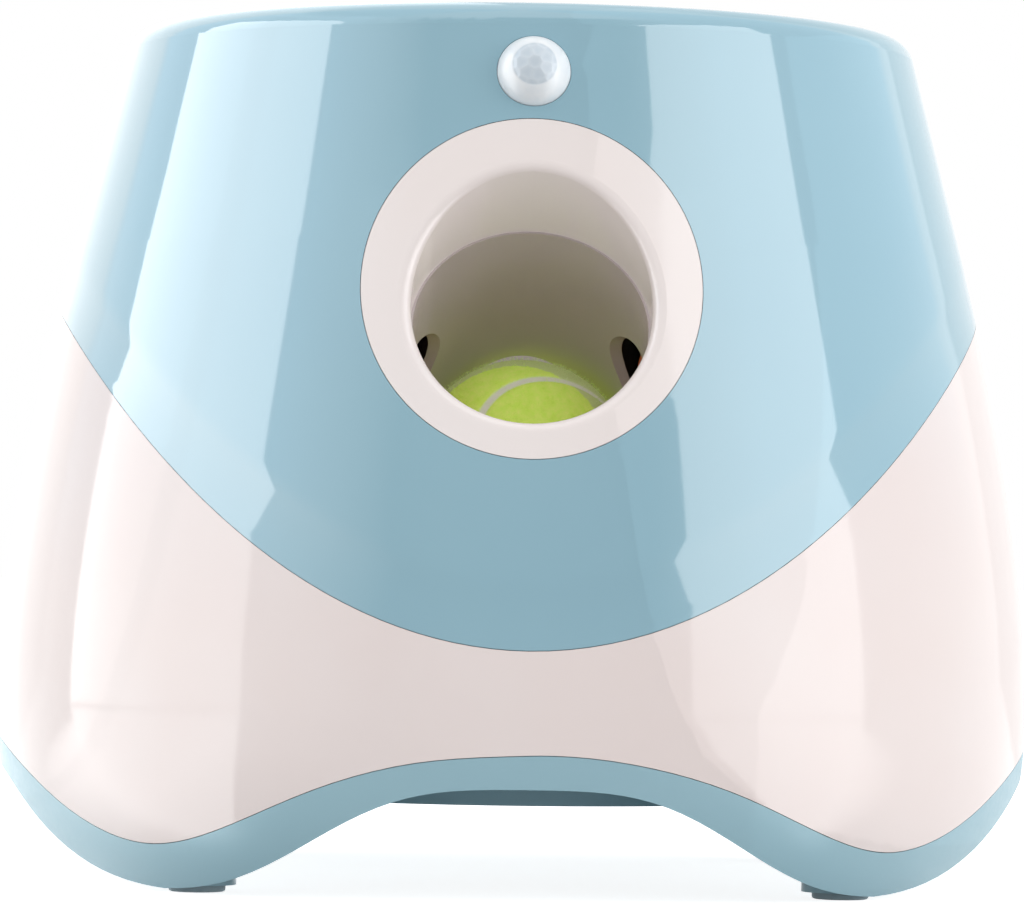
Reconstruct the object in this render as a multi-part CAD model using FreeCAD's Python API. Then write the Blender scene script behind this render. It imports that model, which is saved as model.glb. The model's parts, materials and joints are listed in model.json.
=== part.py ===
import FreeCAD, Part
import math
import os
from FreeCAD import Placement, Rotation, Vector

# Automatic ball launcher for dogs, in millimetres.
# Z is up, the muzzle looks along -Y and +X is on the right of someone who faces the muzzle.
# The origin lies on the floor under the middle of the body.

# ---------------------------------------------------------------- driving sizes

# Body
body_width = 304.0            # widest diameter of the bell-shaped body
body_height = 249.0
taper_angle = 14.4            # lean of the straight upper wall
shoulder_radius = 8.6         # round between the upper wall and the top
taper_start = 183.0           # the wall is straight from here up
shell_wall = 2.6
shut_gap = 0.2                # gap along each visible joint line
lip_height = 3.0              # lips that locate one shell in the next
lip_wall = 1.5
lip_gap = 0.1                 # play of a lip inside the next shell
stand_off = 1.0               # the plastic feet stop this far above the floor

# Joint line between the blue and the white shell, seen from the front
split_height = 69.4
split_curve = 0.00475
split_flare = 2.8e-8

# Base tray
foot_count = 4
arch_rise = 31.0              # from the underside of a foot to the top of an arch
band_foot_height = 13.7       # top edge of the tray at a foot
band_rise = 27.4              # from there to its top edge over an arch
band_swell = 14.0
tray_wall = 3.0
belly_share = 0.612           # radius of the flat belly, as a share of the body's
belly_height = 25.0
foot_ring_share = 0.84        # circle of the rubber feet and the housing screws, as such a share
foot_pad_radius = 8.0
foot_pad_height = 3.0
foot_plinth = 3.0             # how far the tray reaches out round a rubber foot
post_height = 64.0            # top of the screw posts over the feet

# Ball and barrel
ball_diameter = 63.5
barrel_tilt = 33.0            # elevation of the barrel
muzzle_height = 167.0         # where the barrel axis meets the front of the body
muzzle_share = 0.8816         # how far forward that is, as a share of the body's radius
bore_clearance = 0.85         # ball to barrel
mouth_step = 0.6              # the mouth is this much wider, in radius
mouth_length = 17.0
mouth_round = 3.0
barrel_wall = 2.6
pocket_depth = 86.0           # from the muzzle to the waiting ball, along the axis
ring_diameter = 94.0
ring_height = 168.5
throat_radius = 34.0
throat_reach = 116.0          # from the muzzle back to the vertical feed throat
chute_drop = 63.0             # from the top of the body down to the top of the throat

# Launch wheels and their motors
wheel_radius = 26.0
wheel_width = 34.0
wheel_depth = 56.0            # from the muzzle to the wheel axes, along the barrel
tyre_thickness = 6.0
window_length = 44.0
window_width = 36.0
body_gap = 0.3                # between pieces that move past each other
motor_radius = 13.8
motor_length = 38.0
motor_shaft_radius = 1.585
bush_radius = 5.0
bush_length = 2.5
running_gap = 0.05            # radial play of a shaft in its bore
bracket_thickness = 2.0

# Feeder
gear_module = 1.25
pinion_teeth = 16
pressure_angle = 20.0
gear_backlash = 0.16
gear_width = 10.0
pinion_setback = 20.65        # from the back wall of the pocket to the pinion axis
pusher_travel = 28.0
pad_thickness = 3.0
pad_radius = 24.0
rack_teeth = 13
rack_height = 7.0             # from the underside of the rack to the roots of its teeth
rack_rise = 4.0               # pitch line of the rack over the barrel axis
addendum = 0.9
dedendum = 1.25
pinion_shaft_radius = 2.5
guide_wall = 2.5

# Hopper
rim_land = 10.34              # flat ring round the hopper's mouth
rim_height = 40.0             # how deep the mouth is cut free of the shell
funnel_wall = 2.4
funnel_socket = 6.0

# Motion sensor
sensor_drop = 20.0            # from the top of the body
sensor_radius = 10.1
sensor_bulge = 8.0

# Controls and power at the back
panel_width = 72.0
panel_height = 30.0
panel_level = 150.0
button_radius = 6.5
button_travel = 1.2
button_spacing = 36.0
light_radius = 1.5
jack_level = 55.0
jack_radius = 5.5

# Batteries
cell_radius = 13.1
cell_length = 50.0
cell_play = 0.6
contact_space = 4.0
bay_wall = 2.4
bay_setback = 79.0            # from the back of the belly to the middle of the bay
door_thickness = 2.4
door_margin = 3.0

# Electronics
board_thickness = 1.6
main_board_width = 104.0
main_board_depth = 33.0
board_post_height = 5.0
speaker_radius = 10.0
speaker_height = 8.0
speaker_margin = 1.5          # from the belly's wall
grille_radius = 5.6
grille_hole = 1.4
eye_height = 160.0            # light beam across the throat

# Stand of the launch housing
cradle_inside = 22.0
cradle_wall = 3.0
cradle_margin = 9.0           # from the front of the belly
cradle_depth = 24.0
cradle_ear = 10.0

screw_radius = 1.5
screw_head_radius = 3.0
screw_head_height = 1.8
screw_gap = 0.05
screw_hole = screw_radius + screw_gap   # radius of a screw's clearance hole

# ---------------------------------------------------------------- worked-out sizes

belly_radius = belly_share * body_width / 2
foot_ring_radius = foot_ring_share * body_width / 2
muzzle_reach = muzzle_share * body_width / 2
throat_setback = throat_reach - muzzle_reach
chute_top = body_height - chute_drop
sensor_height = body_height - sensor_drop
bay_centre = belly_radius - bay_setback
cradle_front = cradle_margin - belly_radius
cradle_back = cradle_front + cradle_depth
speaker_offset = (belly_radius - tray_wall - speaker_radius - speaker_margin) / math.sqrt(2)

ball_radius = ball_diameter / 2
bore_radius = ball_radius + bore_clearance
barrel_radius = bore_radius + barrel_wall
mouth_radius = bore_radius + mouth_step
tilt = math.radians(barrel_tilt)
slope = math.radians(taper_angle)
pad_face = pocket_depth + ball_radius + body_gap
pocket_end = pad_face + pad_thickness + body_gap
housing_end = pocket_end + barrel_wall
wheel_offset = ball_radius + body_gap + wheel_radius
pitch_radius = gear_module * pinion_teeth / 2
tooth_pitch = math.pi * gear_module
throat_outer = throat_radius + barrel_wall
far = 400.0                   # larger than the body, for cutting tools
tool_step = 0.05              # keeps two cutting tools from sharing a face

pinion_depth = pocket_end + pinion_setback
pinion_rise = rack_rise + pitch_radius
rack_root = rack_rise - dedendum * gear_module
rack_bottom = rack_root - rack_height
rack_start = pad_face + pad_thickness
rack_end = pinion_depth + (rack_teeth - 4) * tooth_pitch
bracket_level = wheel_width / 2 + 3.0
ring_backing = 2.2            # how far the ring reaches in behind the shell
sleeve_radius = mouth_radius + 2.4

launch_frame = Placement(Vector(0, -muzzle_reach, muzzle_height), Rotation(Vector(1, 0, 0), -barrel_tilt))


# ---------------------------------------------------------------- shared shapes

def block(x0, x1, y0, y1, z0, z1):
    """A box between two corners."""
    return Part.makeBox(x1 - x0, y1 - y0, z1 - z0, Vector(x0, y0, z0))


def rod(radius, start, end):
    """A round bar from one point to another."""
    start, end = Vector(*start), Vector(*end)
    return Part.makeCylinder(radius, (end - start).Length, start, end - start)


def tube(outer, inner, start, end):
    """A round tube from one point to another."""
    return rod(outer, start, end).cut(rod(inner, start, end))


def prism(points, direction):
    """A straight-sided outline pushed along a direction."""
    corners = [Vector(*point) for point in points]
    return Part.Face(Part.makePolygon(corners + corners[:1])).extrude(Vector(*direction))


def in_launcher(shape):
    """Carry a shape from the barrel's own axes (x, inward along the barrel, up) to the body."""
    placed = shape.copy()
    placed.Placement = launch_frame.multiply(placed.Placement)
    return placed


def launch_point(x, depth, rise):
    """A point given in the barrel's own axes."""
    return launch_frame.multVec(Vector(x, depth, rise))


def mirrored(shape):
    """The same shape on the other side of the body."""
    return shape.mirror(Vector(0, 0, 0), Vector(1, 0, 0))


def around(radius, degrees, height=0.0):
    """A point at an angle round the body, counted from the muzzle."""
    angle = math.radians(degrees)
    return Vector(radius * math.sin(angle), -radius * math.cos(angle), height)


# ---------------------------------------------------------------- the body's outer form

def outline_stations():
    """Height and radius of the points that the curved part of the wall runs through."""
    half = body_width / 2
    shares = ((0.0, 0.912), (0.107, 0.975), (0.28, 1.0), (0.5, 0.983), (0.76, 0.932))
    return [(share * taper_start, radius * half) for share, radius in shares]


def taper_radius():
    """Radius where the straight upper wall starts."""
    return 0.867 * body_width / 2


def shoulder_start():
    """Height and radius where the wall turns into the top."""
    height = body_height - shoulder_radius * (1 - math.sin(slope))
    return height, taper_radius() - (height - taper_start) * math.tan(slope)


def outline_curve(inset):
    """The curved lower part of the wall, from the floor up to the straight part."""
    points = [Vector(radius - inset, 0, height) for height, radius in outline_stations()]
    points.append(Vector(taper_radius() - inset, 0, taper_start))
    curve = Part.BSplineCurve()
    curve.interpolate(points)
    return curve


def radius_at(height, inset=0.0):
    """Radius of the body's wall at a height."""
    if height >= taper_start:
        return taper_radius() - inset - (height - taper_start) * math.tan(slope)
    curve = outline_curve(inset)
    low, high = curve.FirstParameter, curve.LastParameter
    for _ in range(40):
        middle = (low + high) / 2
        if curve.value(middle).z < height:
            low = middle
        else:
            high = middle
    return curve.value(low).x


rim_radius = taper_radius() - (body_height - taper_start) * math.tan(slope) - rim_land
form_cache = {}


def form(inset):
    """The body as one solid of revolution, with its wall moved inwards by an inset."""
    if inset not in form_cache:
        curve = outline_curve(inset)
        height, radius = shoulder_start()
        turn = shoulder_radius - inset
        centre = Vector(radius, 0, height) - Vector(math.cos(slope), 0, math.sin(slope)) * shoulder_radius
        start = centre + Vector(turn * math.cos(slope), 0, turn * math.sin(slope))
        middle_angle = (slope + math.pi / 2) / 2
        middle = centre + Vector(turn * math.cos(middle_angle), 0, turn * math.sin(middle_angle))
        end = centre + Vector(0, 0, turn)
        foot = curve.value(curve.FirstParameter)
        below = Vector(foot.x, 0, -abs(inset))
        top, bottom = Vector(0, 0, end.z), Vector(0, 0, below.z)
        edges = [curve.toShape(), Part.makeLine(curve.value(curve.LastParameter), start),
                 Part.Arc(start, middle, end).toShape(), Part.makeLine(end, top),
                 Part.makeLine(top, bottom), Part.makeLine(bottom, below)]
        if inset != 0:
            edges.append(Part.makeLine(below, foot))
        face = Part.Face(Part.Wire(Part.__sortEdges__(edges)))
        form_cache[inset] = face.revolve(Vector(0, 0, 0), Vector(0, 0, 1), 360)
    return form_cache[inset].copy()


def skin(outer, inner):
    """The space between two insets of the body's wall."""
    return form(outer).cut(form(inner))


def arch_share(degrees):
    """0 over a foot and 1 over the middle of an arch."""
    return (1 + math.cos(math.radians(degrees * foot_count))) / 2


def tray_bottom(degrees):
    """Height of the tray's lower edge round the body."""
    share = arch_share(degrees)
    return stand_off + arch_rise * (share + 1.41 * share * (1 - share) * (share - 0.36))


def tray_top(degrees):
    """Height of the tray's upper edge round the body."""
    share = arch_share(degrees)
    return band_foot_height + band_rise * share + band_swell * share * (1 - share)


def wave_solid(edge, lift, inner_radius, direction):
    """Everything over (1) or under (-1) a wavy edge that runs round the body, outside a radius."""
    def ring(radius):
        steps = 8 * foot_count
        turns = [360 * step / steps for step in range(steps)]
        points = [around(radius, turn, edge(turn) + lift) for turn in turns]
        curve = Part.BSplineCurve()
        curve.interpolate(Points=points, PeriodicFlag=True)
        return curve.toShape()
    surface = Part.makeRuledSurface(ring(inner_radius), ring(0.6 * body_width))
    return surface.extrude(Vector(0, 0, direction * far))


def arch_tunnels(lift):
    """Everything under the arches: one straight tunnel from front to back and one from side to side."""
    edge, reach, steps = radius_at(arch_rise / 2), 0.6 * body_width, 12
    points = []
    for step in range(-steps, steps + 1):
        degrees = foot_angles[0] * step / steps
        points.append(Vector(edge * math.sin(math.radians(degrees)), -reach, tray_bottom(degrees) + lift))
    curve = Part.BSplineCurve()
    curve.interpolate(points)
    level = stand_off + lift
    corners = [points[-1]] + [Vector(x, -reach, z) for x, z in ((reach, level), (reach, -far), (-reach, -far),
                                                                (-reach, level))] + [points[0]]
    edges = [curve.toShape()] + [Part.makeLine(start, end) for start, end in zip(corners, corners[1:])]
    tunnel = Part.Face(Part.Wire(edges)).extrude(Vector(0, 2 * reach, 0))
    crossing = tunnel.copy()
    crossing.rotate(Vector(0, 0, 0), Vector(0, 0, 1), 90)
    crossing.translate(Vector(0, 0, -tool_step))
    return [tunnel, crossing]


def split_at(x):
    """Height of the joint line between the blue and the white shell."""
    return split_height + split_curve * x * x + split_flare * x ** 4


def above_split(lift):
    """Everything over the joint line between the blue and the white shell."""
    reach = 0.6 * body_width
    steps = 12
    points = []
    for step in range(steps + 1):
        x = reach * (2 * step / steps - 1)
        points.append(Vector(x, -reach, split_at(x) + lift))
    curve = Part.BSplineCurve()
    curve.interpolate(points)
    left, right = points[0], points[-1]
    high = Vector(0, 0, far)
    edges = [curve.toShape(), Part.makeLine(right, right + high), Part.makeLine(right + high, left + high)]
    edges.append(Part.makeLine(left + high, left))
    return Part.Face(Part.Wire(edges)).extrude(Vector(0, 2 * reach, 0))


# ---------------------------------------------------------------- openings in the shells

def ring_column(radius):
    """A straight column through the front of the body, round the muzzle."""
    return rod(radius, (0, -body_width, ring_height), (0, 0, ring_height))


def rear_frame():
    """Placement on the back wall at the controls: X across, Y outwards, Z up along the wall."""
    low, high = radius_at(panel_level - panel_height / 2), radius_at(panel_level + panel_height / 2)
    lean = math.degrees(math.atan2(low - high, panel_height))
    return Placement(Vector(0, radius_at(panel_level), panel_level), Rotation(Vector(1, 0, 0), lean))


def at_rear(shape):
    """Carry a shape to the controls on the back wall."""
    placed = shape.copy()
    placed.Placement = rear_frame().multiply(placed.Placement)
    return placed


def at_sensor(shape):
    """Carry a shape, made with Y outwards from the wall, to the motion sensor."""
    lean = Rotation(Vector(1, 0, 0), -taper_angle)
    frame = Placement(Vector(0, -radius_at(sensor_height), sensor_height), lean)
    placed = shape.copy()
    placed.Placement = frame.multiply(Placement(Vector(0, 0, 0), Rotation(Vector(0, 0, 1), 180)))
    return placed


def stadium(width, height, start, end):
    """An upright plate with round ends, from one depth to another."""
    radius = height / 2
    half = width / 2 - radius
    plate = block(-half, half, start, end, -radius, radius)
    return plate.fuse([rod(radius, (x, start, 0), (x, end, 0)) for x in (-half, half)])


# ---------------------------------------------------------------- shells

foot_angles = [(turn + 0.5) * 360 / foot_count for turn in range(foot_count)]
shell_joint_angles = (48, 132, 228, 312)
shell_joint_height = 112.0
shell_joint_radius = radius_at(shell_joint_height) - 13.5
shell_joint_lug = 3.0
shell_joint_boss = 32.0
boss_radius = 4.6


def turned(shape, degrees):
    """A shape made on the +Y side, turned to an angle counted from the muzzle."""
    shape.rotate(Vector(0, 0, 0), Vector(0, 0, 1), degrees + 180)
    return shape


def make_upper_shell():
    """Blue shell: hopper mouth, muzzle, sensor and control openings, locating lip and four bosses."""
    inner = shell_wall + lip_gap + lip_wall
    shell = skin(0, inner).common(above_split(-lip_height))
    shell = shell.cut(skin(-1, shell_wall + lip_gap).cut(above_split(shut_gap)))
    shell = shell.cut(form(shell_wall).common(above_split(2 * lip_height)))
    bosses = []
    for angle in shell_joint_angles:
        foot = around(shell_joint_radius, angle, shell_joint_height)
        top = foot + Vector(0, 0, shell_joint_boss)
        bosses.append(rod(boss_radius, foot, top))
        outer_x = (shell_joint_radius + 12) * math.sin(math.radians(angle))
        rib = block(-1.2, 1.2, shell_joint_radius, shell_joint_radius + 14, split_at(outer_x) + 1,
                    shell_joint_height + shell_joint_boss)
        bosses.append(turned(rib, angle).common(form(shell_wall / 2)))
    shell = shell.fuse(bosses)
    tools = [rod(rim_radius, (0, 0, body_height - rim_height), (0, 0, body_height + 1)),
             ring_column(ring_diameter / 2 + shut_gap),
             at_sensor(rod(sensor_radius + shut_gap, (0, -6, 0), (0, 9, 0))),
             at_rear(stadium(panel_width + 2 * shut_gap, panel_height + 2 * shut_gap, -14, 4))]
    for angle in shell_joint_angles:
        foot = around(shell_joint_radius, angle, shell_joint_height - 1)
        tools.append(rod(screw_hole, foot, foot + Vector(0, 0, 12)))
    return shell.cut(tools)


def make_lower_shell():
    """White shell: locating edge for both neighbours, four screw posts, four lugs and the inlet hole."""
    over_tray = wave_solid(tray_top, shut_gap, belly_radius + 10, 1)
    shell = skin(0, shell_wall).common(over_tray).cut(above_split(0))
    parts = []
    for angle in foot_angles:
        foot = around(foot_ring_radius, angle, stand_off + foot_floor())
        parts.append(rod(boss_radius, foot, Vector(foot.x, foot.y, post_height)))
        rib_foot = band_foot_height + lip_height + 6
        rib = block(-1.2, 1.2, foot_ring_radius, body_width / 2, rib_foot, post_height)
        parts.append(turned(rib, angle).common(form(shell_wall / 2)))
    for angle in shell_joint_angles:
        lug = block(-6, 6, shell_joint_radius - 6, shell_joint_radius + 14,
                    shell_joint_height - shell_joint_lug, shell_joint_height)
        parts.append(turned(lug, angle).common(form(shell_wall / 2)))
    shell = shell.fuse(parts)
    back = body_width / 2
    tools = [rod(jack_radius + 0.1, (0, back - 20, jack_level), (0, back + 5, jack_level))]
    for angle in foot_angles:
        foot = around(foot_ring_radius, angle, stand_off)
        tools.append(rod(screw_hole, foot, foot + Vector(0, 0, 20)))
    for angle in shell_joint_angles:
        foot = around(shell_joint_radius, angle, shell_joint_height - 6)
        tools.append(rod(screw_hole, foot, foot + Vector(0, 0, 12)))
    return shell.cut(tools)


def foot_floor():
    """Thickness of a foot's floor where the rubber pad and the screw sit."""
    return foot_pad_height - stand_off + screw_head_height + 1.6


def bay_half_x():
    return cell_length + contact_space


def bay_half_y():
    return 3 * cell_radius + 2 * cell_play


def bay_roof():
    return belly_height + door_thickness + 2 * cell_radius + 2 * cell_play


def make_base_tray():
    """Satin tray: four hollow feet under a wavy edge, flat belly, battery bay and speaker grille."""
    outer_wall, inner_wall = belly_radius + tray_wall, belly_radius - tray_wall
    wall_top = belly_height + tray_wall + arch_rise / 4
    highest = band_foot_height + band_rise + lip_height + 1
    belly = rod(belly_radius, (0, 0, -far), (0, 0, far))
    tray = form(0).common(rod(body_width, (0, 0, -1), (0, 0, highest)))
    tray = tray.cut([tunnel.cut(belly) for tunnel in arch_tunnels(0)])
    tray = tray.cut(rod(belly_radius, (0, 0, -1), (0, 0, belly_height)))
    tray = tray.cut(wave_solid(tray_top, lip_height, belly_radius + 10, 1))
    tray = tray.cut(skin(-1, shell_wall + lip_gap).common(wave_solid(tray_top, 0, belly_radius + 10, 1)))
    hollow = form(shell_wall + lip_gap + lip_wall).cut(arch_tunnels(tray_wall))
    tray = tray.cut(hollow.cut(rod(outer_wall, (0, 0, -1), (0, 0, far))))
    tray = tray.cut([rod(inner_wall, (0, 0, belly_height + tray_wall), (0, 0, far)),
                     rod(outer_wall + 1, (0, 0, wall_top), (0, 0, far))])
    bosses = []
    for angle in foot_angles:
        foot = around(foot_ring_radius, angle, stand_off + 1)
        bosses.append(rod(foot_pad_radius + foot_plinth, foot, foot + Vector(0, 0, foot_floor() - 1)))
    half_x, half_y, roof = bay_half_x(), bay_half_y(), bay_roof()
    def round_bay(margin, low, high):
        return block(-half_x - margin, half_x + margin,
                     bay_centre - half_y - margin, bay_centre + half_y + margin, low, high)
    bay = round_bay(bay_wall, belly_height + 1, roof + bay_wall)
    frame = round_bay(2 * door_margin, belly_height + 1, belly_height + 2 * door_thickness)
    bosses.append(rod(door_ear_radius + 2, door_ear(1), door_ear(10)))
    roof_top = roof + bay_wall
    for x, y in board_posts():
        bosses.append(rod(3.2, (x, y, roof_top - 1), (x, y, roof_top + board_post_height)))
    tray = tray.fuse([bay, frame] + bosses)
    tools = [round_bay(0, belly_height - 1, roof),
             round_bay(door_margin + body_gap, belly_height - 1, belly_height + door_thickness),
             rod(door_ear_radius + body_gap, door_ear(-1), door_ear(door_thickness)),
             rod(screw_hole, door_ear(0), door_ear(9))]
    tools += [rod(grille_hole, (x, y, belly_height - 1), (x, y, belly_height + tray_wall + 1))
              for x, y in speaker_holes()]
    tools += [rod(screw_hole, (x, y, belly_height + 0.8), (x, y, belly_height + tray_wall + 1))
              for x, y in cradle_bolts()]
    tools += [rod(screw_hole, (x, y, roof_top - 1), (x, y, roof_top + board_post_height + 1))
              for x, y in board_posts()]
    for angle in foot_angles:
        foot = around(foot_ring_radius, angle, 0)
        seat = foot + Vector(0, 0, foot_pad_height)
        tools.append(rod(foot_pad_radius + screw_gap, foot, seat))
        tools.append(rod(screw_head_radius + screw_gap, seat, seat + Vector(0, 0, screw_head_height)))
        tools.append(rod(screw_hole, seat, seat + Vector(0, 0, 8)))
    return tray.cut(tools)


def make_battery_door():
    """Flat cover under the belly with finger ribs and a screw ear."""
    half_x, half_y = bay_half_x() + door_margin, bay_half_y() + door_margin
    door = block(-half_x, half_x, bay_centre - half_y, bay_centre + half_y, belly_height,
                 belly_height + door_thickness)
    ribs = [block(-16, 16, bay_centre + 4 * step - 0.8, bay_centre + 4 * step + 0.8, belly_height - 0.8,
                  belly_height + 0.5) for step in range(-3, 4)]
    ear = rod(door_ear_radius, door_ear(0), door_ear(door_thickness))
    door = door.fuse(ribs + [ear])
    return door.cut([rod(screw_head_radius + screw_gap, door_ear(-1), door_ear(screw_head_height)),
                     rod(screw_hole, door_ear(0), door_ear(door_thickness + 1))])


door_ear_radius = 5.5


def door_ear(lift):
    """A point on the axis of the battery door's screw, some way over the belly."""
    return (0, bay_centre + bay_half_y() + door_margin + 2.5, belly_height + lift)


def cell_centres():
    """Middle of each row of cells."""
    pitch = 2 * cell_radius + cell_play
    return [bay_centre + pitch * row for row in (-1, 0, 1)]


def cell_height():
    return belly_height + door_thickness + cell_play + cell_radius


def make_battery_cells():
    """Six cells, two end to end in each of three rows."""
    cells = []
    for row, y in enumerate(cell_centres()):
        way = 1 if row % 2 == 0 else -1
        for start in (-cell_length, 0):
            low, high = (start, start + cell_length) if way > 0 else (start + cell_length, start)
            cell = rod(cell_radius, (low, y, cell_height()), (high - way * 1.5, y, cell_height()))
            nub = rod(3.4, (high - way * 2, y, cell_height()), (high, y, cell_height()))
            cells.append(cell.fuse(nub))
    return Part.makeCompound(cells)


def make_battery_contacts():
    """Spring and plate contacts at the ends of each row."""
    contacts = []
    for row, y in enumerate(cell_centres()):
        way = 1 if row % 2 == 0 else -1
        spring_end = -way * bay_half_x()
        base = Vector(spring_end, y, cell_height())
        contacts.append(Part.makeCone(7, 4, contact_space, base, Vector(way, 0, 0)))
        plate = block(0, contact_space, y - 7, y + 7, cell_height() - 8, cell_height() + 8)
        plate.translate(Vector(bay_half_x() - contact_space if way > 0 else -bay_half_x(), 0, 0))
        contacts.append(plate)
    return Part.makeCompound(contacts)


def make_rubber_feet():
    """Four rubber pads set into the feet."""
    pads = []
    for angle in foot_angles:
        foot = around(foot_ring_radius, angle, 0)
        pad = rod(foot_pad_radius, foot, foot + Vector(0, 0, foot_pad_height))
        low = [edge for edge in pad.Edges if abs(edge.BoundBox.ZMax) < 0.01]
        pads.append(pad.makeChamfer(0.6, low))
    return Part.makeCompound(pads)


# ---------------------------------------------------------------- muzzle and launch housing

def make_muzzle_ring():
    """White ring flush with the shell, a flange behind the shell and the mouth of the barrel."""
    face = skin(0, shell_wall + ring_backing).common(ring_column(ring_diameter / 2))
    flange = skin(shell_wall, shell_wall + ring_backing - 0.7).common(ring_column(ring_diameter / 2 + 4))
    notch = sensor_radius + 6
    flange = flange.cut(block(-notch, notch, -far, 0, ring_height + 0.42 * ring_diameter, far))
    sleeve = in_launcher(rod(sleeve_radius, (0, -40, 0), (0, mouth_length, 0))).common(form(shell_wall / 2))
    bore = in_launcher(rod(mouth_radius, (0, -60, 0), (0, mouth_length + 1, 0)))
    return round_mouth(face.fuse([flange, sleeve]).cut(bore))


def round_mouth(ring):
    """Round the edge where the bore meets the front of the ring."""
    inverse = launch_frame.inverse()
    edges = []
    for edge in ring.Edges:
        inside = [inverse.multVec(edge.valueAt(edge.getParameterByLength(edge.Length * share)))
                  for share in (0.1, 0.5, 0.9)]
        on_bore = all(abs(math.hypot(point.x, point.z) - mouth_radius) < 0.05 for point in inside)
        if on_bore and max(point.y for point in inside) < mouth_length - 1 and edge.Length > 20:
            edges.append(edge)
    return ring.makeFillet(mouth_round, edges)


screw_seams = ((50, -1), (100, -1), (28, 1), (62, 1))
rear_flange_low = 26.0
rear_flange_drop = 17.7       # its top lies this far under the top of the throat
seam_flange = 6.0
seam_half = 3.0
boss_half = 8.0


def rear_flange_top():
    """Rise, over the barrel axis, of the top of the flange on the back wall."""
    drop = muzzle_height - (chute_top - rear_flange_drop)
    return (housing_end * math.sin(tilt) - drop) / math.cos(tilt)


def seam_points():
    """Depth and rise of each screw that joins the two halves of the launch housing."""
    points = [(depth, side * (barrel_radius + seam_flange / 2 + 0.3)) for depth, side in screw_seams]
    rises = (rear_flange_low + boss_half, rear_flange_top() - boss_half - 2)
    return points + [(housing_end + screw_head_radius + 0.4, rise) for rise in rises]


def launch_cavity():
    """Barrel bore and feed throat, closed at the back by the ramp."""
    bore = in_launcher(rod(bore_radius, (0, mouth_length - 1, 0), (0, pocket_end, 0)))
    throat = rod(throat_radius, (0, throat_setback, muzzle_height - 110), (0, throat_setback, chute_top + 20))
    over = in_launcher(block(-far, far, -far, pocket_end, 0, far))
    return bore.fuse(throat.common(over))


def wheel_window():
    """Oval cutter for the window of the wheel on the right."""
    oval = Part.Ellipse(Vector(0, 0, 0), window_length / 2, window_width / 2).toShape()
    cutter = Part.Face(Part.Wire(oval)).extrude(Vector(0, 0, -barrel_radius))
    cutter.rotate(Vector(0, 0, 0), Vector(0, 1, 0), -90)
    cutter.translate(Vector(bore_radius * 0.6, wheel_depth, 0))
    return in_launcher(cutter)


lug_depths = (25.0, 89.0)


def lug_x():
    return barrel_radius + 9.3


def launch_housing():
    """Both halves of the launch housing in one: barrel, elbow, ramp, seam flanges, lugs and windows."""
    if "housing" in form_cache:
        return form_cache["housing"].copy()
    barrel = rod(barrel_radius, (0, mouth_length, 0), (0, housing_end, 0))
    collar = rod(sleeve_radius + 2.6, (0, mouth_length - 8, 0), (0, mouth_length + 2.5, 0))
    chute = rod(throat_outer, (0, throat_setback, muzzle_height - 110), (0, throat_setback, chute_top))
    chute = chute.common(in_launcher(block(-far, far, -far, housing_end, -barrel_wall, far)))
    socket = rod(throat_radius + funnel_wall + 2.6, (0, throat_setback, chute_top - funnel_socket),
                 (0, throat_setback, chute_top + funnel_socket / 2))
    local = [barrel, collar,
             block(-seam_half, seam_half, 40, housing_end - 6,
                   -barrel_radius - seam_flange, -barrel_radius + 1.5),
             block(-seam_half, seam_half, mouth_length + 5, wheel_depth + 12, barrel_radius - 1.5,
                   barrel_radius + seam_flange),
             block(-seam_half, seam_half, housing_end - 1.5, housing_end + seam_flange, rear_flange_low,
                   rear_flange_top())]
    for depth, rise in seam_points():
        local.append(rod(4, (-boss_half, depth, rise), (boss_half, depth, rise)))
    for depth in lug_depths:
        for side in (-1, 1):
            x0, x1 = sorted((side * (bore_radius - 8), side * (lug_x() + 5.5)))
            local.append(block(x0, x1, depth - 5, depth + 5, 8, bracket_level))
    pads = [rod(5, (side * (throat_radius - 2), throat_setback, eye_height),
                (side * (throat_outer + 2.4), throat_setback, eye_height)) for side in (-1, 1)]
    housing = in_launcher(local[0]).fuse([in_launcher(shape) for shape in local[1:]] + [chute, socket] + pads)
    housing = housing.common(form(shell_wall + ring_backing + body_gap))
    tools = [launch_cavity(), wheel_window(), mirrored(wheel_window()),
             in_launcher(rod(sleeve_radius + screw_gap, (0, mouth_length - 30, 0), (0, mouth_length, 0))),
             rod(throat_radius + funnel_wall + 0.1, (0, throat_setback, chute_top), (0, throat_setback, far)),
             rod(2.5, (-far, throat_setback, eye_height), (far, throat_setback, eye_height))]
    slot = gear_width / 2 + body_gap
    local_tools = [block(-slot, slot, pocket_end - 1, housing_end + 1, rack_bottom - body_gap,
                         rack_rise + addendum * gear_module + body_gap)]
    for depth, rise in seam_points():
        local_tools.append(rod(screw_hole, (-boss_half - 1, depth, rise),
                               (boss_half + 1, depth, rise)))
    for depth in lug_depths:
        for side in (-1, 1):
            local_tools.append(rod(screw_hole, (side * lug_x(), depth, 9),
                                   (side * lug_x(), depth, bracket_level + 1)))
    for x, rise in guide_bolts():
        local_tools.append(rod(screw_hole, (x, pocket_end + 0.4, rise), (x, housing_end + 1, rise)))
    form_cache["housing"] = housing.cut(tools + [in_launcher(tool) for tool in local_tools])
    return form_cache["housing"].copy()


def make_barrel_left():
    """Left half of the launch housing."""
    return launch_housing().cut(block(0, far, -far, far, -far, far))


def make_barrel_right():
    """Right half of the launch housing."""
    return launch_housing().cut(block(-far, 0, -far, far, -far, far))


def guide_bolts():
    """Places of the four screws that hold the pusher guide on the back wall."""
    return [(x, rise) for x in (-18.5, 18.5) for rise in (-14.0, 14.0)]


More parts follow.
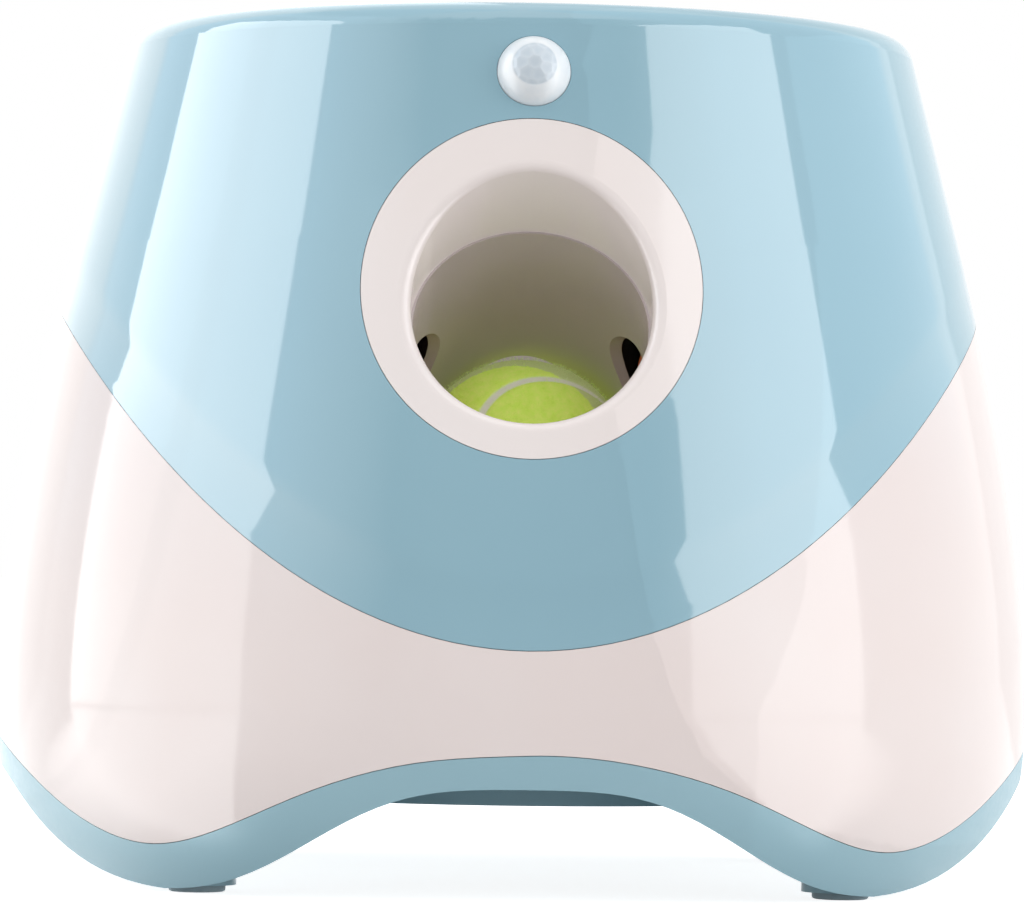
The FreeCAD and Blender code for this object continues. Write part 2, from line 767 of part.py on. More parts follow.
def make_launch_cradle():
    """Stand with two cheeks and two cross walls, cut to the barrel, on four screwed ears."""
    floor = belly_height + tray_wall
    outside = cradle_inside + cradle_wall
    def crest(y):
        return muzzle_height - (y + muzzle_reach) * math.tan(tilt) - 0.55 * barrel_radius
    parts = []
    for side in (-1, 1):
        x = side * cradle_inside
        outline = [(x, cradle_front, floor), (x, cradle_back, floor), (x, cradle_back, crest(cradle_back)),
                   (x, cradle_front, crest(cradle_front))]
        parts.append(prism(outline, (side * cradle_wall, 0, 0)))
    for y in (cradle_front, cradle_back - cradle_wall):
        parts.append(block(-outside, outside, y, y + cradle_wall, floor, crest(y + cradle_wall)))
    for side in (-1, 1):
        x0, x1 = sorted((side * (outside - 1), side * (outside + cradle_ear)))
        parts.append(block(x0, x1, cradle_front + 3, cradle_back - 1, floor, floor + cradle_wall))
    cradle = parts[0].fuse(parts[1:])
    channel = in_launcher(block(-seam_half - body_gap, seam_half + body_gap, 0, housing_end,
                                -barrel_radius - seam_flange - body_gap, 0))
    tools = [in_launcher(rod(barrel_radius + screw_gap, (0, 0, 0), (0, housing_end + 20, 0))), channel,
             in_launcher(block(-far, far, housing_end, far, -far, far))]
    for x, y in cradle_bolts():
        tools.append(rod(screw_hole, (x, y, floor - 1), (x, y, floor + 4)))
    return cradle.cut(tools)


def cradle_bolts():
    """Places of the four screws of the cradle."""
    x = cradle_inside + cradle_wall + cradle_ear / 2
    return [(side * x, y) for side in (-1, 1) for y in (cradle_front + 8, cradle_back - 6)]


# ---------------------------------------------------------------- launch wheels

def spun(points, x, depth):
    """A ring from a (radius, rise) outline, on the axis of a wheel."""
    outline = [Vector(radius, 0, rise) for radius, rise in points]
    ring = Part.Face(Part.makePolygon(outline + outline[:1])).revolve(Vector(0, 0, 0), Vector(0, 0, 1), 360)
    ring.translate(Vector(x, depth, 0))
    return ring


def right_tyre():
    half, bevel = wheel_width / 2, 1.5
    inner = wheel_radius - tyre_thickness
    outline = [(inner, -half), (wheel_radius - bevel, -half), (wheel_radius, -half + bevel),
               (wheel_radius, half - bevel), (wheel_radius - bevel, half), (inner, half)]
    return in_launcher(spun(outline, wheel_offset, wheel_depth))


def right_hub():
    half = wheel_width / 2 - 1
    outer = wheel_radius - tyre_thickness
    web = 1.5
    outline = [(motor_shaft_radius, -12), (bush_radius, -12), (bush_radius, -web), (outer - 2.5, -web),
               (outer - 2.5, -half), (outer, -half), (outer, half), (outer - 2.5, half), (outer - 2.5, web),
               (bush_radius, web), (bush_radius, 12), (motor_shaft_radius, 12)]
    return in_launcher(spun(outline, wheel_offset, wheel_depth))


def motor_face():
    return bracket_level + bracket_thickness


def right_shaft():
    return in_launcher(rod(motor_shaft_radius, (wheel_offset, wheel_depth, -12),
                           (wheel_offset, wheel_depth, motor_face() + motor_length + 4)))


def right_bush():
    low = (wheel_offset, wheel_depth, motor_face() - bush_length)
    high = (wheel_offset, wheel_depth, motor_face())
    return in_launcher(tube(bush_radius, motor_shaft_radius + running_gap, low, high))


def motor_bolts():
    return [(wheel_offset, wheel_depth + side * 8.5) for side in (-1, 1)]


def right_motor():
    """Can with a rear bearing boss and two terminals."""
    x, depth, low = wheel_offset, wheel_depth, motor_face()
    high = low + motor_length
    can = rod(motor_radius, (x, depth, low), (x, depth, high))
    can = can.makeChamfer(1.2, [edge for edge in can.Edges if edge.BoundBox.ZLength < 0.01])
    boss = rod(bush_radius, (x, depth, high - 1), (x, depth, high + 2.5))
    tags = [block(x - 8.5, x - 7, depth - 2, depth + 2, high - 1, high + 6),
            block(x + 7, x + 8.5, depth - 2, depth + 2, high - 1, high + 6)]
    can = can.fuse([boss] + tags)
    tools = [rod(motor_shaft_radius + running_gap, (x, depth, low - 1), (x, depth, high + 5))]
    for bolt_x, bolt_depth in motor_bolts():
        tools.append(rod(screw_hole, (bolt_x, bolt_depth, low - 1), (bolt_x, bolt_depth, low + 5)))
    return in_launcher(can.cut(tools))


def right_bracket():
    """Steel plate from the lugs of the launch housing out to the motor."""
    x0, x1 = lug_x() - 6, lug_x() + 7
    near, rear = lug_depths[0] - 7, lug_depths[1] + 5
    reach = wheel_offset + motor_radius + 1
    outline = [(x0, near), (x1, near), (reach, wheel_depth - 13), (reach + 2, wheel_depth),
               (reach, wheel_depth + 13), (x1, rear), (x0, rear)]
    plate = prism([(x, depth, bracket_level) for x, depth in outline], (0, 0, bracket_thickness))
    low, high = bracket_level - 1, bracket_level + bracket_thickness + 1
    tools = [rod(bush_radius + 0.1, (wheel_offset, wheel_depth, low), (wheel_offset, wheel_depth, high))]
    for x, depth in motor_bolts() + [(lug_x(), depth) for depth in lug_depths]:
        tools.append(rod(screw_hole, (x, depth, low), (x, depth, high)))
    return in_launcher(plate.cut(tools))


def make_motor_bushes():
    """Brass nose bush of each motor."""
    return Part.makeCompound([right_bush(), mirrored(right_bush())])


# ---------------------------------------------------------------- feeder

def make_pusher_pad():
    """Round plate behind the ball, with a countersunk seat for its screw."""
    pad = rod(pad_radius, (0, pad_face, 0), (0, pad_face + pad_thickness, 0))
    seat = (0, pad_face + screw_head_height, 0)
    return in_launcher(pad.cut([rod(screw_head_radius + screw_gap, (0, pad_face - 1, 0), seat),
                                rod(screw_hole, (0, pad_face, 0), (0, pad_face + 5, 0))]))


def make_pusher_rack():
    """Square bar with a row of straight-sided teeth on its upper side."""
    flank = math.tan(math.radians(pressure_angle))
    tip = rack_rise + addendum * gear_module
    half_pitch_line = tooth_pitch / 4 - gear_backlash / 4
    half_tip = half_pitch_line - addendum * gear_module * flank
    half_root = half_pitch_line + dedendum * gear_module * flank
    outline = [(rack_start, rack_bottom), (rack_start, rack_root)]
    for tooth in range(rack_teeth):
        centre = pinion_depth + (tooth - 3.5) * tooth_pitch
        outline += [(centre - half_root, rack_root), (centre - half_tip, tip), (centre + half_tip, tip),
                    (centre + half_root, rack_root)]
    outline += [(rack_end, rack_root), (rack_end, rack_bottom)]
    half = gear_width / 2
    rack = prism([(-half, depth, rise) for depth, rise in outline], (gear_width, 0, 0))
    return in_launcher(rack.cut(rod(screw_hole, (0, rack_start - 1, 0), (0, rack_start + 10, 0))))


def make_drive_pinion():
    """Spur gear with involute teeth, one of them straight down into the rack."""
    pressure = math.radians(pressure_angle)
    base = pitch_radius * math.cos(pressure)
    root, tip = pitch_radius - dedendum * gear_module, pitch_radius + addendum * gear_module
    at_pitch = math.pi / (2 * pinion_teeth) - gear_backlash / (4 * pitch_radius)
    def half_angle(radius):
        angle = math.acos(min(1.0, base / radius))
        return at_pitch + (math.tan(pressure) - pressure) - (math.tan(angle) - angle)
    flank = [(root, half_angle(base))]
    steps = 4
    for step in range(steps + 1):
        radius = base + (tip - base) * step / steps
        flank.append((radius, half_angle(radius)))
    outline = []
    for tooth in range(pinion_teeth):
        middle = 2 * math.pi * tooth / pinion_teeth - math.pi / 2
        outline += [(radius, middle - angle) for radius, angle in flank]
        outline += [(radius, middle + angle) for radius, angle in reversed(flank)]
    half = gear_width / 2
    points = [(-half, pinion_depth + radius * math.cos(angle), pinion_rise + radius * math.sin(angle))
              for radius, angle in outline]
    gear = prism(points, (gear_width, 0, 0))
    bore = rod(pinion_shaft_radius, (-20, pinion_depth, pinion_rise), (20, pinion_depth, pinion_rise))
    return in_launcher(gear.cut(bore))


cheek_inside = gear_width / 2 + 1.5
cheek_outside = cheek_inside + 3.0
gearbox_width = 20.0
gearbox_span = 22.0
gearbox_low = 3.0
gearbox_high = 40.0
feeder_motor_radius = 10.0
feeder_motor_length = 26.0


def make_pinion_shaft():
    """Shaft through both cheeks of the guide into the gearbox."""
    return in_launcher(rod(pinion_shaft_radius, (-cheek_outside - 1, pinion_depth, pinion_rise),
                           (cheek_outside + gearbox_width - 4, pinion_depth, pinion_rise)))


def gearbox_bolts():
    """Depth and rise of the two screws that hold the gearbox on its cheek."""
    return [(pinion_depth - 5, pinion_rise + 17), (pinion_depth + 5, pinion_rise + 17)]


def make_pusher_guide():
    """Channel for the rack, flange on the back wall, two cheeks for the pinion shaft and an end stop."""
    slot = gear_width / 2 + body_gap
    side = slot + guide_wall
    bottom = rack_bottom - body_gap - guide_wall
    end = rack_end + body_gap
    channel = block(-side, side, housing_end, end + guide_wall, bottom, rack_root - 0.4)
    flange = block(-24, 24, housing_end, housing_end + 3, -19, 19)
    parts = [channel, flange]
    for sign in (-1, 1):
        x0, x1 = sorted((sign * cheek_inside, sign * cheek_outside))
        parts.append(block(x0, x1, pinion_depth - 6, pinion_depth + 6, bottom, pinion_rise))
        parts.append(rod(6, (x0, pinion_depth, pinion_rise), (x1, pinion_depth, pinion_rise)))
    parts.append(block(cheek_inside, cheek_outside, pinion_depth - 9, pinion_depth + 9, pinion_rise - 6,
                       pinion_rise + 22))
    guide = parts[0].fuse(parts[1:])
    tools = [block(-slot, slot, housing_end - 1, end, rack_bottom - body_gap, rack_rise + 10),
             rod(pinion_shaft_radius + running_gap,
                 (-20, pinion_depth, pinion_rise), (20, pinion_depth, pinion_rise))]
    for x, rise in guide_bolts():
        tools.append(rod(screw_hole, (x, housing_end - 1, rise), (x, housing_end + 4, rise)))
    for depth, rise in gearbox_bolts():
        tools.append(rod(screw_hole, (cheek_inside - 1, depth, rise), (cheek_outside + 1, depth, rise)))
    return in_launcher(guide.cut(tools))


def make_feeder_gearbox():
    """Closed gear case on the right cheek of the guide."""
    half = gearbox_span / 2
    case = block(cheek_outside, cheek_outside + gearbox_width,
                 pinion_depth - half, pinion_depth + half, gearbox_low, gearbox_high)
    upright = [edge for edge in case.Edges if edge.BoundBox.XLength > gearbox_width - 1]
    case = case.makeFillet(3, upright)
    tools = [rod(pinion_shaft_radius + running_gap, (cheek_outside - 1, pinion_depth, pinion_rise),
                 (cheek_outside + gearbox_width - 3, pinion_depth, pinion_rise))]
    for depth, rise in gearbox_bolts():
        tools.append(rod(screw_hole, (cheek_outside - 1, depth, rise), (cheek_outside + 8, depth, rise)))
    return in_launcher(case.cut(tools))


def make_feeder_motor():
    """Small motor on top of the gear case."""
    x, top = cheek_outside + gearbox_width / 2, gearbox_high + feeder_motor_length
    can = rod(feeder_motor_radius, (x, pinion_depth, gearbox_high), (x, pinion_depth, top))
    can = can.makeChamfer(1, [edge for edge in can.Edges if edge.BoundBox.ZMin > gearbox_high + 1])
    cap = rod(3.5, (x, pinion_depth, top - 1), (x, pinion_depth, top + 2))
    return in_launcher(can.fuse(cap))


def make_tennis_ball():
    """The ball in the launch pocket."""
    return Part.makeSphere(ball_radius, launch_point(0, pocket_depth, 0))


# ---------------------------------------------------------------- hopper

# Share of the way down, and share of the widening from throat to rim that is left there
funnel_sections = ((0.0, 1.0), (0.24, 0.83), (0.55, 0.46), (0.8, 0.13), (1.0, 0.0))


def funnel_bowl(extra, top, bottom):
    """Loft from the round rim to the throat, which lies off centre."""
    wires = []
    for down, share in funnel_sections:
        radius = throat_radius + share * (rim_radius - body_gap - throat_radius) + extra
        y = throat_setback * (1 - share)
        height = top + (bottom - top) * down
        wires.append(Part.Wire(Part.makeCircle(radius, Vector(0, y, height))))
    return Part.makeLoft(wires, True, False)


def make_hopper_funnel():
    """White bowl hung under the rim of the shell, with a spout that sits in the feed throat's socket."""
    top = body_height - shell_wall
    bottom = chute_top + funnel_socket
    outer = funnel_bowl(funnel_wall, top - 0.6, bottom - 1)
    flange = rod(rim_radius + 3, (0, 0, top - 2.4), (0, 0, top))
    spout = rod(throat_radius + funnel_wall, (0, throat_setback, chute_top), (0, throat_setback, bottom + 1))
    bowl = outer.fuse([flange, spout])
    through = rod(throat_radius, (0, throat_setback, chute_top - 1), (0, throat_setback, bottom + 4))
    lead = rod(rim_radius - body_gap, (0, 0, top - 0.05), (0, 0, top + 5))
    return bowl.cut([funnel_bowl(0, top, bottom), through, lead])


# ---------------------------------------------------------------- motion sensor

def make_sensor_lens():
    """Domed lens with a flange that bears on the inside of the shell."""
    sphere_radius = (sensor_radius ** 2 + sensor_bulge ** 2) / (2 * sensor_bulge)
    centre = Vector(0, sensor_bulge - sphere_radius, 0)
    dome = Part.makeSphere(sphere_radius, centre).common(block(-20, 20, 0, 20, -20, 20))
    skirt = rod(sensor_radius, (0, -5, 0), (0, 0.2, 0))
    flange = at_sensor(rod(sensor_radius + 1.5, (0, -5, 0), (0, -1, 0))).common(form(shell_wall + screw_gap))
    lens = at_sensor(dome.fuse(skirt)).fuse(flange)
    hollow = Part.makeSphere(sphere_radius - 1.2, centre).common(block(-20, 20, -1, 20, -20, 20))
    return lens.cut([at_sensor(hollow), at_sensor(rod(sensor_radius - 1.4, (0, -6, 0), (0, -0.9, 0)))])


def make_sensor_holder():
    """Short tube between the lens and its circuit board."""
    return at_sensor(tube(sensor_radius + 1.5, sensor_radius - 0.4, (0, -13, 0), (0, -5, 0)))


def make_sensor_board():
    """Circuit board with the round detector can."""
    board = block(-13, 13, -13 - board_thickness, -13, -12, 12)
    return at_sensor(board.fuse(rod(4.6, (0, -13.5, 0), (0, -8.5, 0))))


# ---------------------------------------------------------------- controls and power at the back

def button_seat():
    """How far the wall has curved away at a button."""
    radius = radius_at(panel_level)
    return -(radius - math.sqrt(radius ** 2 - (button_spacing / 2) ** 2))


board_depth = 16.4
light_places = (-5.0, 0.0, 5.0)


def make_control_panel():
    """Oval panel flush with the shell, with holes for two buttons and three lights, and two board posts."""
    plate = skin(0, shell_wall + 1.8).common(at_rear(stadium(panel_width, panel_height, -20, 6)))
    surround = at_rear(stadium(panel_width + 6, panel_height + 6, -20, 6))
    rim = skin(shell_wall, shell_wall + 1.2).common(surround)
    posts = [at_rear(rod(2.6, (x, -board_depth, 0), (x, -6, 0))) for x in (-29.5, 29.5)]
    panel = plate.fuse([rim] + posts)
    tools = [at_rear(rod(button_radius + body_gap, (x, -15, 0), (x, 5, 0)))
             for x in (-button_spacing / 2, button_spacing / 2)]
    tools += [at_rear(rod(light_radius + screw_gap, (x, -15, 0), (x, 5, 0))) for x in light_places]
    tools += [at_rear(rod(1.05, (x, -board_depth - 1, 0), (x, -8, 0))) for x in (-29.5, 29.5)]
    return panel.cut(tools)


def button(x):
    """Round cap with a retaining collar and a stem."""
    seat = button_seat()
    cap = rod(button_radius, (x, seat - 8.4, 0), (x, seat + 1.6, 0))
    cap = cap.makeFillet(0.8, [edge for edge in cap.Edges if edge.BoundBox.YMin > seat + 1.5])
    collar = rod(button_radius + 1.5, (x, seat - 8.6, 0), (x, seat - 7.2, 0))
    stem = rod(2.4, (x, -board_depth + 1.8 + button_travel + 0.4, 0), (x, seat - 8, 0))
    return at_rear(cap.fuse([collar, stem]))


def make_power_button():
    return button(-button_spacing / 2)


def make_distance_button():
    return button(button_spacing / 2)


def make_control_board():
    """Circuit board behind the panel with a switch under each button."""
    board = block(-33, 33, -board_depth - board_thickness, -board_depth, -12, 12)
    switches = [block(x - 3, x + 3, -board_depth - 0.5, -board_depth + 1.8, -3, 3)
                for x in (-button_spacing / 2, button_spacing / 2)]
    holes = [rod(1.05, (x, -board_depth - 5, 0), (x, -board_depth + 1, 0)) for x in (-29.5, 29.5)]
    return at_rear(board.fuse(switches).cut(holes))


def make_status_lights():
    """Three clear light pipes from the board to the panel."""
    pipes = [at_rear(rod(light_radius, (x, -board_depth, 0), (x, 0.2, 0))) for x in light_places]
    return Part.makeCompound(pipes)


def make_dc_jack():
    """Round power inlet with its pin, and a flange inside the shell."""
    face = radius_at(jack_level)
    body = rod(jack_radius, (0, face - 13, jack_level), (0, face - 0.3, jack_level))
    flange = rod(jack_radius + 3, (0, face - 6, jack_level), (0, face, jack_level)).common(form(shell_wall))
    well = rod(3.1, (0, face - 10, jack_level), (0, face + 1, jack_level))
    pin = rod(1.0, (0, face - 10.5, jack_level), (0, face - 1, jack_level))
    return body.fuse(flange).cut(well).fuse(pin)


def speaker_holes():
    """Centres of the round holes of the speaker grille."""
    turns = [math.radians(60 * step) for step in range(6)]
    ring = [(speaker_offset + grille_radius * math.cos(turn), grille_radius * math.sin(turn) - speaker_offset)
            for turn in turns]
    return [(speaker_offset, -speaker_offset)] + ring


def make_speaker():
    """Small loudspeaker on the belly."""
    centre, up = Vector(speaker_offset, -speaker_offset, belly_height + tray_wall), Vector(0, 0, 1)
    basket = Part.makeCone(speaker_radius, speaker_radius - 4, speaker_height - 3, centre + up * 1.5)
    rim = rod(speaker_radius, centre, centre + up * 2)
    magnet = rod(speaker_radius / 2, centre + up * 3, centre + up * speaker_height)
    return rim.fuse([basket, magnet])


def board_floor():
    return bay_roof() + bay_wall + board_post_height


def board_posts():
    """Centres of the four posts of the main board."""
    x, front = main_board_width / 2 - 5, bay_centre + 12
    return [(side * x, front + step) for side in (-1, 1) for step in (0, main_board_depth - 10)]


def make_main_board():
    """Main circuit board over the battery bay."""
    half, front = main_board_width / 2, bay_centre + 7
    low = board_floor()
    board = block(-half, half, front, front + main_board_depth, low, low + board_thickness)
    return board.cut([rod(screw_hole, (x, y, low - 1), (x, y, low + 5)) for x, y in board_posts()])


def make_board_parts():
    """Capacitors, driver chips, relay and connectors on the main board."""
    top, front = board_floor() + board_thickness, bay_centre + 7
    shapes = [rod(4, (x, front + 24, top), (x, front + 24, top + 11)) for x in (-30, -18)]
    relay = block(-8, 8, front + 17, front + 29, top, top + 9)
    driver = block(14, 24, front + 18, front + 28, top, top + 2.4)
    sockets = [block(start, end, front + 6, front + 12, top, top + 7)
               for start, end in ((-24, -12), (-4, 14), (20, 36))]
    shapes += [relay, driver] + sockets
    return Part.makeCompound(shapes)


def make_ball_sensors():
    """Light emitter and receiver on their small boards, either side of the throat."""
    x0 = throat_outer + 2.4
    board = block(x0, x0 + board_thickness, throat_setback - 7, throat_setback + 7,
                  eye_height - 9, eye_height + 9)
    eye = rod(2.4, (throat_radius + 0.6, throat_setback, eye_height), (x0 + 1, throat_setback, eye_height))
    sensor = board.fuse(eye)
    return Part.makeCompound([sensor, mirrored(sensor)])


# ---------------------------------------------------------------- fasteners

def screw(seat, direction, length):
    """A pan-head screw: its head's underside is at the seat, its shank runs along the direction."""
    seat, way = Vector(*seat), Vector(*direction)
    way.normalize()
    head = rod(screw_head_radius, seat - way * screw_head_height, seat)
    return head.fuse(rod(screw_radius, seat - way * 0.5, seat + way * length))


def make_housing_screws():
    feet = [around(foot_ring_radius, angle, foot_pad_height + screw_head_height) for angle in foot_angles]
    return Part.makeCompound([screw(foot, (0, 0, 1), 12) for foot in feet])


def make_shell_screws():
    low = shell_joint_height - shell_joint_lug
    return Part.makeCompound([screw(around(shell_joint_radius, angle, low), (0, 0, 1), 11)
                              for angle in shell_joint_angles])


def make_barrel_screws():
    return Part.makeCompound([in_launcher(screw((-boss_half, depth, rise), (1, 0, 0), 2 * boss_half - 1))
                              for depth, rise in seam_points()])


def make_bracket_screws():
    seat = bracket_level + bracket_thickness
    return Part.makeCompound([in_launcher(screw((side * lug_x(), depth, seat), (0, 0, -1), 12))
                              for side in (-1, 1) for depth in lug_depths])


def make_motor_screws():
    return Part.makeCompound([in_launcher(screw((side * x, depth, bracket_level), (0, 0, 1), 6))
                              for side in (-1, 1) for x, depth in motor_bolts()])


def make_guide_screws():
    seat = housing_end + 3
    plate = [screw((x, seat, rise), (0, -1, 0), 5) for x, rise in guide_bolts()]
    case = [screw((cheek_inside, depth, rise), (1, 0, 0), 9) for depth, rise in gearbox_bolts()]
    return Part.makeCompound([in_launcher(shape) for shape in plate + case])


def make_cradle_screws():
    seat = belly_height + tray_wall + cradle_wall
    return Part.makeCompound([screw((x, y, seat), (0, 0, -1), 4.8) for x, y in cradle_bolts()])


def make_board_screws():
    seat = board_floor() + board_thickness
    return Part.makeCompound([screw((x, y, seat), (0, 0, -1), 5) for x, y in board_posts()])


def make_battery_door_screw():
    return screw(door_ear(screw_head_height), (0, 0, 1), 7)


def make_pusher_screw():
    return in_launcher(screw((0, pad_face + screw_head_height, 0), (0, 1, 0), 8))


# ---------------------------------------------------------------- the parts and their files

nodes = {
    "upper_shell": make_upper_shell,
    "lower_shell": make_lower_shell,
    "base_tray": make_base_tray,
    "muzzle_ring": make_muzzle_ring,
    "hopper_funnel": make_hopper_funnel,
    "barrel_left": make_barrel_left,
    "barrel_right": make_barrel_right,
    "launch_cradle": make_launch_cradle,
    "motor_bracket_left": lambda: mirrored(right_bracket()),
    "motor_bracket_right": right_bracket,
    "motor_left": lambda: mirrored(right_motor()),
    "motor_right": right_motor,
    "motor_bushes": make_motor_bushes,
    "motor_shaft_left": lambda: mirrored(right_shaft()),
    "motor_shaft_right": right_shaft,
    "wheel_hub_left": lambda: mirrored(right_hub()),
    "wheel_hub_right": right_hub,
    "wheel_tyre_left": lambda: mirrored(right_tyre()),
    "wheel_tyre_right": right_tyre,
    "pusher_pad": make_pusher_pad,
    "pusher_rack": make_pusher_rack,
    "pusher_guide": make_pusher_guide,
    "drive_pinion": make_drive_pinion,
    "pinion_shaft": make_pinion_shaft,
    "feeder_gearbox": make_feeder_gearbox,
    "feeder_motor": make_feeder_motor,
    "tennis_ball": make_tennis_ball,
    "sensor_lens": make_sensor_lens,
    "sensor_holder": make_sensor_holder,
    "sensor_board": make_sensor_board,
    "ball_sensors": make_ball_sensors,
    "control_panel": make_control_panel,
    "control_board": make_control_board,
    "power_button": make_power_button,
    "distance_button": make_distance_button,
    "status_lights": make_status_lights,
    "dc_jack": make_dc_jack,
    "main_board": make_main_board,
    "board_parts": make_board_parts,
    "speaker": make_speaker,
    "battery_door": make_battery_door,
    "battery_cells": make_battery_cells,
    "battery_contacts": make_battery_contacts,
    "rubber_feet": make_rubber_feet,
    "housing_screws": make_housing_screws,
    "shell_screws": make_shell_screws,
    "barrel_screws": make_barrel_screws,
    "bracket_screws": make_bracket_screws,
    "motor_screws": make_motor_screws,
    "guide_screws": make_guide_screws,
    "cradle_screws": make_cradle_screws,
    "board_screws": make_board_screws,
    "battery_door_screw": make_battery_door_screw,
    "pusher_screw": make_pusher_screw,
}


def main():
    """Build every piece and write one STEP file for each."""
    os.makedirs("parts", exist_ok=True)
    for name, make in nodes.items():
        make().exportStep(os.path.join("parts", name + ".step"))


if __name__ == "__main__":
    main()
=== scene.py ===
import json
import logging
import math
from collections.abc import Mapping, Sequence
from dataclasses import dataclass
from enum import Enum
from typing import Any

import bmesh
import bpy
import numpy as np
from mathutils import Matrix, Quaternion, Vector

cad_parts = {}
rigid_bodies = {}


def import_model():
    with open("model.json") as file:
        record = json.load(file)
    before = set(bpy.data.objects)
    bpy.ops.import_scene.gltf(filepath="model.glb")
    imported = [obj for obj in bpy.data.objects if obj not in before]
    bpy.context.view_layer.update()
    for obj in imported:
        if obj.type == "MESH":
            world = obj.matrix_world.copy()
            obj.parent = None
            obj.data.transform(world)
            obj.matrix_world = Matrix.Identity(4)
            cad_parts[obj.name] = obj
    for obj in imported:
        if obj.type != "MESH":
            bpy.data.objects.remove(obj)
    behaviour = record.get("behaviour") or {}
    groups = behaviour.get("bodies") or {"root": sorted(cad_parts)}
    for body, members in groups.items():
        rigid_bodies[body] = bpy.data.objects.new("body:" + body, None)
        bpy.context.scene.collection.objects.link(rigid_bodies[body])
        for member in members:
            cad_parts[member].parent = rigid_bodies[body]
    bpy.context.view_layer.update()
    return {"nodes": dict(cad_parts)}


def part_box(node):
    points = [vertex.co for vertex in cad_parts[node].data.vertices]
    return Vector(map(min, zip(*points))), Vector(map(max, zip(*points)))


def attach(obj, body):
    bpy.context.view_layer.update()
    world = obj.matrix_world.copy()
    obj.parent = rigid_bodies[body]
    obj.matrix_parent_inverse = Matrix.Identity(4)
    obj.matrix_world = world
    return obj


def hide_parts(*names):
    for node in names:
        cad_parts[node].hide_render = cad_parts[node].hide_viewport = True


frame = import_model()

log = logging.getLogger("ball_launcher")

Object = bpy.types.Object
Node = bpy.types.Node
Socket = bpy.types.NodeSocket
Tree = bpy.types.NodeTree
Solid = tuple[list[Vector], list[tuple[int, ...]]]

MM = 0.001
UP = Vector((0, 0, 1))


# ---------------------------------------------------------------- shared tools

def linear(value: str) -> tuple[float, float, float, float]:
    """Turn an sRGB hex colour into the linear values that shaders take.

    Args:
        value: Colour such as "#94B8C7".

    Returns:
        Red, green, blue and an alpha of 1.
    """
    parts = [int(value[place:place + 2], 16) / 255 for place in (1, 3, 5)]
    red, green, blue = [part / 12.92 if part <= 0.04045 else ((part + 0.055) / 1.055) ** 2.4
                        for part in parts]
    return red, green, blue, 1.0


def add_node(tree: Tree, kind: str, inputs: Mapping[Any, Any] | None = None, **settings: Any) -> Node:
    """Add one node with its settings, its values and its links.

    Args:
        tree: Node tree that gets the node.
        kind: Type of the node.
        inputs: For each input, by name or number, a plain value, the output that feeds it, or a node
            whose first output in use feeds it.
        settings: Properties of the node itself.

    Returns:
        The new node.
    """
    node = tree.nodes.new(kind)
    for name, value in settings.items():
        setattr(node, name, value)
    for key, value in (inputs or {}).items():
        if isinstance(value, Node):
            value = next(output for output in value.outputs if output.enabled)
        if isinstance(value, Socket):
            tree.links.new(value, node.inputs[key])
        else:
            node.inputs[key].default_value = value
    return node


def empty_tree(owner: bpy.types.Material | bpy.types.World | bpy.types.Light) -> Tree:
    """Give a material, a world or a lamp a node tree without nodes.

    Args:
        owner: The material, world or lamp.

    Returns:
        The empty tree.
    """
    owner.use_nodes = True
    owner.node_tree.nodes.clear()
    return owner.node_tree


def new_object(name: str, data: bpy.types.ID) -> Object:
    """Make an object of a mesh, a camera or a lamp, and link it to the scene.

    Args:
        name: Name of the object.
        data: The mesh, camera or lamp.

    Returns:
        The object.
    """
    made = bpy.data.objects.new(name, data)
    bpy.context.scene.collection.objects.link(made)
    return made


def mesh_object(name: str, verts: Sequence[Sequence[float]], faces: Sequence[Sequence[int]],
                smooth: bool = True) -> Object:
    """Make an object at the origin from points in metres and faces.

    Args:
        name: Name of the piece.
        verts: Points.
        faces: Corners of each face, as numbers of points.
        smooth: Whether the faces are shaded smooth.

    Returns:
        The object, linked to the scene.
    """
    mesh = bpy.data.meshes.new(name)
    mesh.from_pydata([tuple(vert) for vert in verts], [], [tuple(face) for face in faces])
    mesh.validate()
    piece = new_object(name, mesh)
    tidy_mesh(piece, smooth)
    return piece


def tidy_mesh(piece: Object, smooth: bool = True, crease_angle: float = 32.0, doubles: float = 1e-7) -> None:
    """Merge doubles, turn the faces outwards and shade them, with sharp edges kept sharp.

    Args:
        piece: The object.
        smooth: Whether the faces are shaded smooth.
        crease_angle: Edges that turn by more than this, in degrees, stay sharp.
        doubles: Points closer than this, in metres, are merged.
    """
    work = bmesh.new()
    work.from_mesh(piece.data)
    bmesh.ops.remove_doubles(work, verts=work.verts, dist=doubles)
    bmesh.ops.recalc_face_normals(work, faces=work.faces)
    for face in work.faces:
        face.smooth = smooth
    for edge in work.edges:
        edge.smooth = not (edge.is_manifold and edge.calc_face_angle(0.0) > math.radians(crease_angle))
    work.to_mesh(piece.data)
    work.free()
    piece.data.update()


def store(piece: Object, name: str, values: np.ndarray | Sequence[float]) -> None:
    """Store one value for each point of a piece, for its finish or its geometry tree to read."""
    mask = piece.data.attributes.new(name, "FLOAT", "POINT")
    mask.data.foreach_set("value", np.array(values, dtype=np.float32))


def ring(radius: float, height: float, steps: int) -> list[Vector]:
    """Points of a level ring round the Z axis, or one point, a pole, where the radius is next to nothing.

    Args:
        radius: Radius of the ring.
        height: Its height.
        steps: Points round it.

    Returns:
        The points, in the units of the radius.
    """
    if radius < 1e-6:
        return [Vector((0, 0, height))]
    turns = [2 * math.pi * step / steps for step in range(steps)]
    return [Vector((radius * math.cos(turn), radius * math.sin(turn), height)) for turn in turns]


